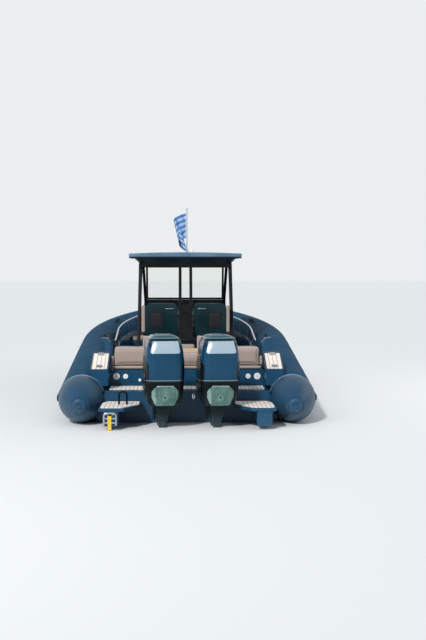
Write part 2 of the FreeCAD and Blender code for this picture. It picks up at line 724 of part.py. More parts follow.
# Helm module with the bench facing aft
module_profile = [
    (MODULE_AFT_Y, SOLE_Z, 0), (MODULE_AFT_Y, BENCH_Z, 40), (MODULE_STEP_Y, BENCH_Z, 0),
    (MODULE_STEP_Y, MODULE_TOP, 20), (MODULE_FRONT_Y, MODULE_TOP, 40), (MODULE_FRONT_Y, SOLE_Z, 0),
]
module = slab("yz", module_profile, -MODULE_HALF_WIDTH, MODULE_HALF_WIDTH)
module_plan = plate(
    "xy", (-MODULE_HALF_WIDTH, MODULE_AFT_Y), (MODULE_HALF_WIDTH, MODULE_FRONT_Y), SOLE_Z, MODULE_TOP + 1, 80
)
parts["helm_module"] = module.common(module_plan)
BENCH_PAD_TOP = BENCH_Z + 90.0
bench_pads = [
    cushion((-MODULE_HALF_WIDTH + 12, MODULE_AFT_Y + 10, BENCH_Z), (MODULE_HALF_WIDTH - 12, MODULE_STEP_Y - SOFT_GAP, BENCH_PAD_TOP), 30),
    cushion((-145, MODULE_STEP_Y - 90, BENCH_PAD_TOP + SOFT_GAP), (145, MODULE_STEP_Y - SOFT_GAP, 850), 25),
]
bench_back = cushion(
    (152, MODULE_STEP_Y - 105, BENCH_PAD_TOP + SOFT_GAP), (MODULE_HALF_WIDTH, MODULE_STEP_Y - SOFT_GAP, 990), 30
)
parts["bench_cushions"] = solids(bench_pads + [bench_back, mirrored(bench_back)])


# Helm seats
def seat_shell():
    """Starboard seat shell: seat pan and high back in one, with a recess in the back."""
    pan = plate("xy", (SEAT_INNER_X, SEAT_BACK_Y), (SEAT_OUTER_X, MODULE_FRONT_Y - 60), MODULE_TOP, MODULE_TOP + 50, 50)
    back_outline = [
        (SEAT_INNER_X, MODULE_TOP, 0), (SEAT_OUTER_X, MODULE_TOP, 0),
        (SEAT_OUTER_X, SEAT_BACK_TOP, 90), (SEAT_INNER_X, SEAT_BACK_TOP, 90),
    ]
    back = slab("xz", back_outline, SEAT_BACK_Y, SEAT_BACK_Y + SHELL_THICKNESS)
    recess_cut = plate("xz", (365, 1080), (570, 1335), SEAT_BACK_Y - 1, SEAT_BACK_Y + 12, 14)
    wing_profile = [
        (SEAT_BACK_Y, MODULE_TOP, 0), (SEAT_BACK_Y, SEAT_BACK_TOP - 90, 40),
        (SEAT_BACK_Y + 130, SEAT_BACK_TOP - 110, 50), (SEAT_BACK_Y + 400, 1090, 40), (SEAT_BACK_Y + 420, MODULE_TOP, 0),
    ]
    wings = [slab("yz", wing_profile, x, x + 12) for x in (SEAT_INNER_X, SEAT_OUTER_X - 12)]
    return back.fuse([pan] + wings).cut(recess_cut)


parts["seat_shells"] = both_sides(seat_shell())
CUSHION_INNER = SEAT_INNER_X + 14
CUSHION_OUTER = SEAT_OUTER_X - 14
seat_pan_top = MODULE_TOP + 50
seat_cushions = [
    cushion((CUSHION_INNER, SEAT_BACK_Y + SHELL_THICKNESS + SOFT_GAP, seat_pan_top), (CUSHION_OUTER, MODULE_FRONT_Y - 65, seat_pan_top + 95), 28),
    cushion((CUSHION_INNER, SEAT_BACK_Y + SHELL_THICKNESS + SOFT_GAP, seat_pan_top + 95 + SOFT_GAP), (CUSHION_OUTER, SEAT_BACK_Y + SHELL_THICKNESS + 90, SEAT_BACK_TOP - 35), 28),
]
bolster_profile = [
    (SEAT_BACK_Y, 1000, 20), (SEAT_BACK_Y + 8, 1452, 35), (SEAT_BACK_Y + 150, 1440, 60),
    (SEAT_BACK_Y + 420, 1110, 40), (SEAT_BACK_Y + 420, 1000, 20),
]
seat_cushions.append(slab("yz", bolster_profile, SEAT_OUTER_X + SOFT_GAP, SEAT_OUTER_X + 58))
parts["seat_cushions"] = both_sides(solids(seat_cushions))

# Console with its front seat base
console_profile = [
    (4600, SOLE_Z, 0), (4600, 760, 60), (4480, 930, 70), (4620, 1240, 60), (5020, 1330, 90),
    (5240, CONSOLE_TOP, 60), (5440, CONSOLE_TOP, 70), (5790, 1120, 160), (CONSOLE_FRONT_Y, 1060, 40), (CONSOLE_FRONT_Y, SOLE_Z, 0),
]
console = slab("yz", console_profile, -CONSOLE_HALF_WIDTH, CONSOLE_HALF_WIDTH)
console = console.common(
    plate("xy", (-CONSOLE_HALF_WIDTH, 4440), (CONSOLE_HALF_WIDTH, CONSOLE_FRONT_Y + 40), SOLE_Z, CONSOLE_TOP + 1, 110)
)
front_seat = plate("xy", (-470, 5700), (470, CONSOLE_SEAT_FRONT), SOLE_Z, CONSOLE_SEAT_Z, 110)
console = console.fuse(front_seat)
wheel_axis = Vector(0, -math.cos(math.radians(WHEEL_RAKE)), math.sin(math.radians(WHEEL_RAKE)))
COLUMN_RADIUS = 30.0
HUB_LENGTH = 40.0
hub_back = WHEEL_CENTRE - wheel_axis * (HUB_LENGTH / 2)
column_top = hub_back - wheel_axis * BRACKET_GAP
console = console.fuse(Part.makeCylinder(COLUMN_RADIUS, 260, column_top - wheel_axis * 260, wheel_axis))
parts["console"] = console
parts["console_pad"] = solids([
    cushion((-455, CONSOLE_FRONT_Y + SOFT_GAP, CONSOLE_SEAT_Z), (455, CONSOLE_SEAT_FRONT - 12, CONSOLE_SEAT_Z + 90), 28),
    cushion((-455, CONSOLE_FRONT_Y + SOFT_GAP, CONSOLE_SEAT_Z + 90 + SOFT_GAP), (455, CONSOLE_FRONT_Y + 85, 1015), 28),
])

# Wheel, throttle and displays
rim = Part.makeTorus(WHEEL_RADIUS, 15, WHEEL_CENTRE, wheel_axis)
hub = Part.makeCylinder(38, HUB_LENGTH, hub_back, wheel_axis)
spokes = []
for turn in (90, 210, 330):
    spoke = bar(WHEEL_CENTRE, WHEEL_CENTRE + X_AXIS * WHEEL_RADIUS, 11)
    spoke.rotate(WHEEL_CENTRE, wheel_axis, turn)
    spokes.append(spoke)
parts["helm_wheel"] = rim.fuse([hub] + spokes)

# The dash face runs from the console's rear edge up to the coaming
DASH_LOW = Vector(0, 4480, 930)
DASH_HIGH = Vector(0, 4620, 1240)
dash_run = DASH_HIGH - DASH_LOW
dash_angle = math.degrees(math.atan2(dash_run.z, dash_run.y))


def on_dash(shape):
    """Lay a level shape, drawn up from the foot of the dash, on the dash face."""
    placed = shape.copy()
    placed.rotate(ORIGIN, X_AXIS, dash_angle)
    placed.translate(DASH_LOW)
    return placed


screen = plate("xy", (-330, 110), (-20, 300), 0.0, 14.0, 12)
small_screen = plate("xy", (-600, 110), (-370, 300), 0.0, 14.0, 12)
parts["dash_displays"] = solids([on_dash(screen), on_dash(small_screen)])
throttle_base = plate("xy", (40, 110), (150, 280), 0.0, 40.0, 20)
levers = [
    bent_rail([Vector(x, 190, 30), Vector(x, 190, 120), Vector(x, 250, 150)], 9, 20) for x in (75, 115)
]
grips = [Part.makeCylinder(14, 36, Vector(x, 250, 150), Vector(0, 0, 1)) for x in (75, 115)]
parts["throttle"] = on_dash(throttle_base.fuse(levers + grips))


# Windscreen, hardtop and their frame
def screen_at(z, extra=0.0):
    """Half width and place along the boat of the raked windscreen at a height."""
    share = (z - CONSOLE_TOP) / (HARDTOP_UNDER - CONSOLE_TOP)
    half = SCREEN_FOOT_X + share * (SCREEN_HEAD_X - SCREEN_FOOT_X) + extra
    return half, SCREEN_FOOT_Y + share * (SCREEN_HEAD_Y - SCREEN_FOOT_Y)


def raked_panel(low, high, depth, inner=None, outer=0.0):
    """Panel or post that follows the windscreen's rake between two heights."""
    wires = []
    for z in (low, high):
        half, y = screen_at(z)
        left = -half - outer if inner is None else half
        right = half + outer
        points = [(left, y), (right, y), (right, y + depth), (left, y + depth)]
        wires.append(Part.makePolygon([Vector(a, b, z) for a, b in points + points[:1]]))
    return Part.makeLoft(wires, True, True)


glass_low = CONSOLE_TOP + SCREEN_BAR
glass_high = HARDTOP_UNDER - SCREEN_BAR
parts["windscreen"] = raked_panel(glass_low, glass_high, GLASS_THICKNESS)
screen_post = raked_panel(CONSOLE_TOP, HARDTOP_UNDER, 42.0, inner=True, outer=SCREEN_POST)
screen_sill = raked_panel(CONSOLE_TOP, glass_low, 42.0)
screen_head = raked_panel(glass_high, HARDTOP_UNDER, 42.0)
screen_frame = screen_sill.fuse([screen_head, screen_post, mirrored(screen_post)])
LEG_FOOT = Vector(758.0, 3300.0, SOLE_Z)
LEG_HEAD = Vector(724.0, HARDTOP_AFT_Y + 120.0, HARDTOP_UNDER)
LEG_HEAD_WIDTH = 60.0
leg = leaning_post(LEG_FOOT, LEG_HEAD, 44.0, LEG_HEAD_WIDTH, 95.0, 14.0)
foot_plate = plate("xy", (LEG_FOOT.x - 34, LEG_FOOT.y - 80), (LEG_FOOT.x + 50, LEG_FOOT.y + 80), SOLE_Z, SOLE_Z + 12, 20)
HEADER_Z = 2040.0
HEADER_Y = (HARDTOP_AFT_Y + 22.0, HARDTOP_AFT_Y + 152.0)
header_half = LEG_HEAD.x + LEG_HEAD_WIDTH / 2 - 4.0
header = plate("yz", (HEADER_Y[0], HEADER_Z), (HEADER_Y[1], HARDTOP_UNDER), -header_half, header_half)
aft_frame = header.fuse([leg, mirrored(leg), foot_plate, mirrored(foot_plate)])
parts["hardtop_frame"] = solids([screen_frame, aft_frame])

hardtop_plan = [
    (-HARDTOP_HALF_WIDTH, HARDTOP_AFT_Y, 90), (HARDTOP_HALF_WIDTH, HARDTOP_AFT_Y, 90),
    (HARDTOP_HALF_WIDTH - 40, HARDTOP_FRONT_Y, 260), (-HARDTOP_HALF_WIDTH + 40, HARDTOP_FRONT_Y, 260),
]
crown_z = HARDTOP_EDGE_TOP + HARDTOP_CROWN
crown_radius = (HARDTOP_HALF_WIDTH ** 2 + HARDTOP_CROWN ** 2) / (2 * HARDTOP_CROWN)
crown = Part.makeCylinder(crown_radius, 3000, Vector(0, HARDTOP_AFT_Y - 500, crown_z - crown_radius), Y_AXIS)
roof = slab("xy", hardtop_plan, HARDTOP_EDGE_TOP - HARDTOP_RIM, crown_z + 1).common(crown)
core_rows = (
    (HARDTOP_UNDER, HARDTOP_CORE_HALF_WIDTH + 25, HARDTOP_AFT_Y + 20, HARDTOP_FRONT_Y - 160, 120),
    (HARDTOP_EDGE_TOP - HARDTOP_RIM, HARDTOP_CORE_HALF_WIDTH + 110, HARDTOP_AFT_Y + 5, HARDTOP_FRONT_Y - 60, 120),
)
roof = roof.fuse(rounded_loft(core_rows, ruled=True))
parts["hardtop"] = roof

PYLON_X = 86.0
PYLON_WIDTH = 48.0
PYLON_DEPTH = 60.0
PYLON_FOOT_Y = 3210.0
PYLON_HEAD_Y = HEADER_Y[0] + PYLON_DEPTH / 2 + 8.0
PYLON_BAR_Z = 1310.0
PYLON_PANEL_TOP = 1440.0


def pylon_at(x, z):
    """Place on the pylon's lean at a height."""
    share = (z - MODULE_TOP) / (HEADER_Z - MODULE_TOP)
    return Vector(x, PYLON_FOOT_Y + share * (PYLON_HEAD_Y - PYLON_FOOT_Y), z)


pylon = leaning_post(
    pylon_at(0, MODULE_TOP), pylon_at(0, PYLON_PANEL_TOP), 2 * PYLON_X, 2 * PYLON_X, PYLON_DEPTH / 2, 4
)
for side in (-1, 1):
    pylon = pylon.fuse(leaning_post(
        pylon_at(side * PYLON_X, MODULE_TOP), pylon_at(side * PYLON_X, HEADER_Z),
        PYLON_WIDTH, PYLON_WIDTH, PYLON_DEPTH, 10,
    ))
bar_y = pylon_at(0, PYLON_BAR_Z).y
pylon_bar = box((-PYLON_X, bar_y - 24, PYLON_BAR_Z - 20), (PYLON_X, bar_y + 24, PYLON_BAR_Z + 20))
parts["pylon"] = pylon.fuse(pylon_bar)

STAFF_X = 26.0
STAFF_Y = HARDTOP_AFT_Y + 40.0
STAFF_RADIUS = 9.0
STAFF_TOP = 2985.0
staff = Part.makeCylinder(STAFF_RADIUS, STAFF_TOP - crown_z, Vector(STAFF_X, STAFF_Y, crown_z))
socket = Part.makeCylinder(20, 50, Vector(STAFF_X, STAFF_Y, crown_z))
staff_base = Part.makeCylinder(36, 12, Vector(STAFF_X, STAFF_Y, crown_z - 10))
truck = Part.makeSphere(13, Vector(STAFF_X, STAFF_Y, STAFF_TOP))
parts["flag_staff"] = staff.fuse([socket, staff_base, truck]).cut(roof)
ensign_outline = [
    (10, 2925, 0), (-165, 2905, 12), (-130, 2640, 12), (-95, 2290, 12), (10, 2350, 0),
]
ensign = slab("xz", ensign_outline, STAFF_Y - 18, STAFF_Y + 18)
staff_room = Part.makeCylinder(STAFF_RADIUS + 1, 900, Vector(STAFF_X, STAFF_Y, crown_z))
parts["ensign"] = ensign.cut(staff_room)
LIGHT_X = 105.0
light = Part.makeCylinder(24, 55, Vector(LIGHT_X, STAFF_Y, crown_z - 5))
light = light.fuse(Part.makeSphere(24, Vector(LIGHT_X, STAFF_Y, crown_z + 50)))
parts["stern_light"] = light.cut(roof)

# Bow moulding: seat base round a foot well, and the locker forward
bow_profile = [
    (BOW_STEP_Y, DECK_Z, 0), (BOW_STEP_Y, BOW_SEAT_Z, 30), (LOCKER_AFT_Y, BOW_SEAT_Z, 0), (LOCKER_AFT_Y, LOCKER_Z, 40),
    (BOW_Y, LOCKER_Z, 0), (BOW_Y, BOW_SEAT_Z - 40.0, 0), (WELL_FRONT_Y + 10.0, BOW_SEAT_Z - 40.0, 0),
    (WELL_FRONT_Y + 10.0, DECK_Z, 0),
]
bow = inner_floor.common(slab("yz", bow_profile, -1500.0, 1500.0))
well_cut = plate("xy", (-WELL_HALF_WIDTH, BOW_STEP_Y - 50), (WELL_HALF_WIDTH, WELL_FRONT_Y), DECK_Z, LOCKER_Z, 0)
HATCH_LIP = 20.0
LOCKER_FLOOR = 760.0
locker_cut = plate(
    "xy", (-HATCH_HALF_WIDTH + HATCH_LIP, HATCH_AFT_Y + HATCH_LIP), (HATCH_HALF_WIDTH - HATCH_LIP, HATCH_FRONT_Y - HATCH_LIP),
    LOCKER_FLOOR, LOCKER_Z + 5, 40,
)
bow = bow.cut([well_cut, locker_cut])
parts["bow_moulding"] = bow
hatch = plate(
    "xy", (-HATCH_HALF_WIDTH, HATCH_AFT_Y), (HATCH_HALF_WIDTH, HATCH_FRONT_Y), LOCKER_Z, LOCKER_Z + HATCH_THICKNESS, 45
)
HINGE_Y = HATCH_AFT_Y - HINGE_STAND_OFF
HINGE_Z = LOCKER_Z + HINGE_RISE
HINGE_PLATE = 3.0


def knuckle(start, end):
    """Barrel of a hatch hinge between two places across the boat."""
    return Part.makeCylinder(HINGE_RADIUS, end - start, Vector(start, HINGE_Y, HINGE_Z), X_AXIS)


hinge_brackets = []
for centre in (-HINGE_X, HINGE_X):
    low, high = centre - HINGE_LEAF / 2, centre + HINGE_LEAF / 2
    leaf = box((low, HINGE_Y, HINGE_Z - HINGE_RADIUS + 1), (high, HATCH_AFT_Y + 5, HINGE_Z + HINGE_RADIUS - 1))
    hatch = hatch.fuse([knuckle(low, high), leaf])
    bracket = box(
        (low - HINGE_EAR, HINGE_Y - HINGE_STAND_OFF, LOCKER_Z),
        (high + HINGE_EAR, HINGE_Y + HINGE_RADIUS, LOCKER_Z + HINGE_PLATE),
    )
    for start, end in ((low - HINGE_EAR, low - BRACKET_GAP), (high + BRACKET_GAP, high + HINGE_EAR)):
        web = box((start, HINGE_Y - HINGE_RADIUS, LOCKER_Z), (end, HINGE_Y + HINGE_RADIUS, HINGE_Z))
        bracket = bracket.fuse([knuckle(start, end), web])
    hinge_brackets.append(bracket)
parts["bow_hatch"] = hatch
bow_room = inside_collar(COAMING_OFFSET + 10.0)
BOW_PAD = 80.0
side_room = plate("xy", (WELL_HALF_WIDTH + 12, BOW_STEP_Y + 12), (1400, WELL_FRONT_Y - 6), BOW_SEAT_Z, BOW_SEAT_Z + BOW_PAD, 30)
front_room = plate("xy", (-1400, WELL_FRONT_Y + 4), (1400, LOCKER_AFT_Y - 12), BOW_SEAT_Z, BOW_SEAT_Z + BOW_PAD, 20)
side_pad = bow_room.common(side_room)
parts["bow_cushions"] = solids([side_pad, mirrored(side_pad), bow_room.common(front_room)])

# Side rails on the coaming
GUARD_RADIUS = 14.0
GUARD_HEIGHT = 250.0
GUARD_START = 3600.0
GUARD_HEADING = 16.0
guard_offset = -(TUBE_RADIUS + COAMING_THICKNESS / 2)
guard = sweep_side(disc(GUARD_RADIUS, guard_offset, COAMING_RISE + GUARD_HEIGHT), GUARD_START, GUARD_HEADING)
guard_length = SIDE_LENGTH + math.radians(GUARD_HEADING + SIDE_FLARE) * SHOULDER_RADIUS
GUARD_POSTS = 5
for index in range(GUARD_POSTS):
    distance = GUARD_START + (guard_length - GUARD_START) * index / (GUARD_POSTS - 1)
    point, heading = path_at(distance)
    stanchion = Part.makeCylinder(GUARD_RADIUS - 2, GUARD_HEIGHT, Vector(guard_offset, 0, COAMING_RISE))
    stanchion = stanchion.fuse(Part.makeCylinder(24, 6, Vector(guard_offset, 0, COAMING_RISE)))
    if index in (0, GUARD_POSTS - 1):
        knob = Part.makeSphere(GUARD_RADIUS + 2, Vector(guard_offset, 0, COAMING_RISE + GUARD_HEIGHT))
        stanchion = stanchion.fuse(knob)
    guard = guard.fuse(stood_at(stanchion, point, heading))
guard = incline(guard)
parts["side_rails"] = both_sides(guard)


def horn_cleat(y, z):
    """Two-horned mooring cleat lying across the boat."""
    feet = [Part.makeCylinder(12, 42, Vector(side * 45, y, z)) for side in (-1, 1)]
    base = plate("xy", (-75, y - 25), (75, y + 25), z, z + 8, 20)
    horns = bar(Vector(-125, y, z + 46), Vector(125, y, z + 46), 12)
    return base.fuse(feet + [horns])


bow_cleat = horn_cleat(BOW_Y - BOW_CLEAT_SETBACK, LOCKER_Z)
parts["cleats"] = solids([both_sides(solids(step_eyes)), bow_cleat] + hinge_brackets)


# Engines. Each is drawn about its swivel axis, pointing straight aft, and then turned to its rest
# heading and set in place. The bracket and the swivel housing stay square to the boat.
PLATE_INNER = 92.0
PLATE_OUTER = 112.0
SWIVEL_HALF = 84.0
PIN_RADIUS = 20.0
KNUCKLE_RADIUS = 27.0


def clamp_bracket():
    """Two side plates on the transom, joined by the tilt tube and a foot across."""
    profile = [(0, 60, 0), (-46, 60, 20), (-95, 250, 60), (-70, 470, 30), (0, 470, 0)]
    plates = [slab("yz", profile, side, side + PLATE_OUTER - PLATE_INNER) for side in (PLATE_INNER, -PLATE_OUTER)]
    pin = Part.makeCylinder(PIN_RADIUS, 2 * PLATE_OUTER, Vector(-PLATE_OUTER, TILT_Y, TILT_Z), X_AXIS)
    foot = plate("yz", (-30, 75), (0, 130), -PLATE_INNER, PLATE_INNER, 6)
    # The plates clamp over the shelf's edge, so they stand behind the transom face only
    return plates[0].fuse([plates[1], pin, foot])


def swivel_housing():
    """Arm from the tilt tube to the swivel tube."""
    reach = SWIVEL_Y
    profile = [
        (TILT_Y, TILT_Z - KNUCKLE_RADIUS, 0), (TILT_Y, TILT_Z + KNUCKLE_RADIUS, 0),
        (TILT_Y - 40, TILT_Z + KNUCKLE_RADIUS, 14), (reach + 55, SWIVEL_TOP - 4, 10), (reach, SWIVEL_TOP - 4, 0),
        (reach, 20, 0), (reach + 70, 20, 20), (TILT_Y - 20, 200, 60),
    ]
    arm = slab("yz", profile, -SWIVEL_HALF + 44, SWIVEL_HALF - 44)
    cheeks = Part.makeCylinder(
        KNUCKLE_RADIUS, 2 * SWIVEL_HALF, Vector(-SWIVEL_HALF, TILT_Y, TILT_Z), X_AXIS
    )
    tube = Part.makeCylinder(50, SWIVEL_TOP, Vector(0, reach, 0))
    bore = Part.makeCylinder(PIN_RADIUS + BRACKET_GAP, 4 * SWIVEL_HALF, Vector(-2 * SWIVEL_HALF, TILT_Y, TILT_Z), X_AXIS)
    return arm.fuse([cheeks, tube]).cut(bore)


def engine_leg():
    """Midsection, anti-ventilation plate, gearcase and skeg, in one casting line."""
    yoke = slab(
        "xy", [(-75, -210, 45), (75, -210, 45), (60, 52, 50), (-60, 52, 50)], SWIVEL_TOP + BRACKET_GAP, 470
    )
    lower_yoke = plate("xy", (-62, -200), (62, 52), -78, -BRACKET_GAP, 40)
    wires = []
    # height, half width, rear, front
    for z, half, rear, front in (
        (470, 112, -430, -62), (300, 112, -430, -62), (180, 82, -370, -62), (70, 50, -330, -62),
        (-200, 42, -290, -60), (PLATE_Z, 34, -330, -20),
    ):
        corners = [(-half, rear, 16), (half, rear, 16), (half, front, 16), (-half, front, 16)]
        wires.append(rounded_wire(corners, lambda flat, level=z: Vector(flat.x, flat.y, level)))
    column = Part.makeLoft(wires, True, True)
    anti_plate = slab(
        "xy", [(-40, 40, 20), (40, 40, 20), (125, -220, 60), (115, -520, 60), (-115, -520, 60), (-125, -220, 60)],
        PLATE_Z - 10, PLATE_Z,
    )
    strut = rounded_loft(((PLATE_Z - 10, 30, -330, -20, 14), (PROP_Z, 26, -290, -62, 14)), ruled=True)
    body_edges = [
        Part.makeLine(Vector(0, 150, PROP_Z), Vector(0, -318, PROP_Z)),
        Part.makeLine(Vector(0, -318, PROP_Z), Vector(0, -318, PROP_Z + 52)),
        Part.makeLine(Vector(0, -318, PROP_Z + 52), Vector(0, -40, PROP_Z + 66)),
        Part.Arc(Vector(0, -40, PROP_Z + 66), Vector(0, 85, PROP_Z + 44), Vector(0, 150, PROP_Z)).toShape(),
    ]
    torpedo = Part.Face(Part.Wire(body_edges)).revolve(Vector(0, 0, PROP_Z), Y_AXIS, 360)
    skeg = slab(
        "yz", [(60, PROP_Z, 0), (-290, PROP_Z, 0), (-250, SKEG_BOTTOM, 40), (-110, SKEG_BOTTOM, 40)], -9, 9
    )
    return column.fuse([yoke, lower_yoke, anti_plate, strut, torpedo, skeg])


lower_rows = (
    # height, half width, rear, front, corner
    (300.0, 172.0, -556.0, -90.0, 80.0),
    (380.0, 214.0, -582.0, 30.0, 100.0),
    (480.0, 236.0, -612.0, 80.0, 115.0),
    (COWL_SPLIT_Z, 242.0, -640.0, 110.0, 125.0),
)
shield_outline = [
    (-118, 306, 30), (118, 306, 30), (165, 420, 60), (165, 492, 50), (104, 558, 25),
    (-104, 558, 25), (-165, 492, 50), (-165, 420, 60),
]
SHIELD_THICKNESS = 8.0
OUTLET_Z = 408.0
OUTLET_RADIUS = 13.0


def lower_body(extra):
    """Whole lower cowl, larger all round by extra."""
    rows = [(z, half + extra, rear - extra, front + extra, corner + extra) for z, half, rear, front, corner in lower_rows]
    return rounded_loft(rows)


def lower_cowl(leg_shape):
    """Apron round the top of the leg, cut back in front where the bracket stands."""
    profile = [(-700, 290, 0), (-110, 290, 0), (-110, 476, 0), (200, 476, 0), (200, COWL_SPLIT_Z, 0), (-700, COWL_SPLIT_Z, 0)]
    body = lower_body(0.0).common(slab("yz", profile, -300, 300))
    return body.cut(leg_shape)


def lower_panel():
    """Shield-shaped panel on the back of the lower cowl, with its water outlet."""
    panel = lower_body(SHIELD_THICKNESS).common(slab("xz", shield_outline, -700, -380)).cut(lower_body(0.0))
    return panel.cut(Part.makeCylinder(OUTLET_RADIUS, 400, Vector(0, -750, OUTLET_Z), Y_AXIS))


cowl_rows = (
    # height, half width, rear, front, corner
    (COWL_SPLIT_Z, 243.0, -648.0, 118.0, 128.0),
    (780.0, 244.0, -690.0, 148.0, 135.0),
    (960.0, 240.0, -690.0, 150.0, 140.0),
    (1100.0, 226.0, -665.0, 122.0, 140.0),
    (COWL_TOP_Z, 172.0, -590.0, 50.0, 120.0),
)


def upper_cowl(extra):
    """Whole upper cowl with its cap, larger all round by extra."""
    rows = [(z, half + extra, rear - extra, front + extra, corner + extra) for z, half, rear, front, corner in cowl_rows]
    return rounded_loft(rows)


def blade(radius_limit):
    """One propeller blade standing up from the hub, twisted towards its tip."""
    wires = []
    # radius, chord, pitch angle, thickness
    for radius, chord, pitch, thick in ((40, 110, 55, 12), (115, 165, 36, 9), (PROP_RADIUS + 6, 120, 24, 5)):
        angle = math.radians(pitch)
        chord_way = Vector(math.cos(angle), math.sin(angle), 0)
        thick_way = Vector(-math.sin(angle), math.cos(angle), 0)
        points = [
            Vector(0, 0, radius) + chord_way * (a * chord / 2) + thick_way * (b * thick / 2)
            for a, b in ((-1, -1), (1, -1), (1, 1), (-1, 1))
        ]
        wires.append(Part.makePolygon(points + points[:1]))
    shape = Part.makeLoft(wires, True, False)
    return shape.common(radius_limit)


HUB_AFT = -500.0
HUB_FRONT = -318.5


def propeller():
    """Three-bladed propeller on its hub."""
    limit = Part.makeCylinder(PROP_RADIUS, 400, Vector(0, -200, 0), Y_AXIS)
    one = blade(limit)
    blades = []
    for index in range(3):
        turned = one.copy()
        turned.rotate(ORIGIN, Y_AXIS, index * 120)
        turned.translate(Vector(0, (HUB_AFT + HUB_FRONT) / 2, PROP_Z))
        blades.append(turned)
    hub_body = Part.makeCone(46, HUB_RADIUS, HUB_FRONT - HUB_AFT, Vector(0, HUB_AFT, PROP_Z), Y_AXIS)
    return hub_body.fuse(blades)


def engine_set(name, side):
    """Put one engine's pieces into the parts table."""
    leg_shape = engine_leg()
    whole = upper_cowl(0.0)
    below_cap = box((-400, -900, 0), (400, 400, COWL_CAP_Z))
    cowl = whole.common(below_cap)
    cap = whole.cut(below_cap)
    band_profile = [
        (-800, 940, 0), (-560, 940, 60), (-330, 1085, 60), (60, 1120, 0), (60, 1150, 0),
        (-400, 1128, 60), (-800, 1122, 0),
    ]
    band = upper_cowl(BAND_THICKNESS).common(slab("yz", band_profile, -400, 400)).cut(whole)
    steered = {
        "leg": leg_shape,
        "lower_cowl": lower_cowl(leg_shape),
        "lower_panel": lower_panel(),
        "cowl": cowl,
        "cowl_cap": cap,
        "cowl_band": band,
        "propeller": propeller(),
    }
    if side < 0:
        steered["propeller"] = steered["propeller"].mirror(ORIGIN, X_AXIS)
    place = Vector(side * ENGINE_X, SWIVEL_Y, 0)
    for piece, shape in steered.items():
        shape = shape.copy()
        shape.rotate(ORIGIN, Z_AXIS, REST_STEER)
        shape.translate(place)
        parts[name + "_" + piece] = shape
    for piece, shape in (("bracket", clamp_bracket()), ("swivel", swivel_housing())):
        shape.translate(Vector(side * ENGINE_X, 0, 0))
        parts[name + "_" + piece] = shape


engine_set("port", -1)
engine_set("starboard", 1)

for node, shape in parts.items():
    if not shape.isValid():
        print("not valid:", node)
    pieces = len(shape.Solids)
    print(f"{node}: {pieces} solids, {shape.Volume / 1e6:.2f} litres")
    shape.exportStep("parts/" + node + ".step")
print(len(parts), "nodes")
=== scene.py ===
"""Looks of a rigid inflatable boat with a hardtop helm and two outboard engines, afloat.

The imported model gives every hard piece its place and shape. The sections below follow the boat as it is
put together, and each gives one group of pieces its finish and whatever only the looks need.
"""
import math

import bpy
from mathutils import Matrix, Vector

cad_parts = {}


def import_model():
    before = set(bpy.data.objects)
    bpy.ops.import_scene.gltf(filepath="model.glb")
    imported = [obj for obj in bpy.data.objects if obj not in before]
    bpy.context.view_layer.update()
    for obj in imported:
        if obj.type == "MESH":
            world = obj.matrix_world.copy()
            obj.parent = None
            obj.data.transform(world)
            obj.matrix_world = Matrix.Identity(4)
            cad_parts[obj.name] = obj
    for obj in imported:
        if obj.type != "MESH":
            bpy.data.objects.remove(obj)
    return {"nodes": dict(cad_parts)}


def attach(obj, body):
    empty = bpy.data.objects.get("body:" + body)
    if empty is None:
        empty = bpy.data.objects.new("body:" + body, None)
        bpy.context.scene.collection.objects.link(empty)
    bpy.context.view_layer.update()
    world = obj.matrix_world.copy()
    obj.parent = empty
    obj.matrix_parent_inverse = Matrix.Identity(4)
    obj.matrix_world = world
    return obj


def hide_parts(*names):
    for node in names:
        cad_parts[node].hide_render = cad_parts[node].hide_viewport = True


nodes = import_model()["nodes"]
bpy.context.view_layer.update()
bpy.ops.object.select_all(action="DESELECT")

# Studio: a pale floor at the waterline, a soft key lamp from port astern, and a camera low down, astern
# of the boat.
CAMERA_PLACE = (-0.12, -15.87, 2.0)
CAMERA_TURN = (math.radians(87.64), 0.0, math.radians(-1.65))
CAMERA_LENS = 68.3
FLOOR_COLOUR = (0.88, 0.88, 0.87, 1.0)
BACKDROP_COLOUR = (0.83, 0.86, 0.87, 1.0)
AIR_COLOUR = (0.84, 0.92, 1.0, 1.0)
LAMPS = (
    # kind, place, aim, power, size
    ("SUN", (-6.0, -11.0, 11.0), (0.0, 3.0, 0.5), 2.4, 0.10),
    ("AREA", (-7.0, -9.0, 5.5), (0.0, 0.0, 0.8), 220.0, 5.0),
    ("AREA", (8.0, 3.0, 5.0), (0.0, 4.0, 0.8), 90.0, 5.0),
)

bpy.context.scene.view_settings.view_transform = "Standard"
bpy.ops.object.camera_add(location=CAMERA_PLACE, rotation=CAMERA_TURN)
camera = bpy.context.object
camera.data.lens = CAMERA_LENS
bpy.context.scene.camera = camera

for kind, place, aim, power, size in LAMPS:
    bpy.ops.object.light_add(type=kind, location=place)
    lamp = bpy.context.object
    lamp.rotation_euler = (Vector(aim) - Vector(place)).to_track_quat("-Z", "Y").to_euler()
    lamp.data.energy = power
    if kind == "SUN":
        lamp.data.angle = size
    else:
        lamp.data.size = size


def put(tree, kind, inputs=None, **settings):
    """A shader node with its own settings; each input is a value, or a socket to link from."""
    made = tree.nodes.new(kind)
    for name, value in settings.items():
        setattr(made, name, value)
    for socket, value in (inputs or {}).items():
        if isinstance(value, bpy.types.NodeSocket):
            tree.links.new(value, made.inputs[socket])
        else:
            made.inputs[socket].default_value = value
    return made


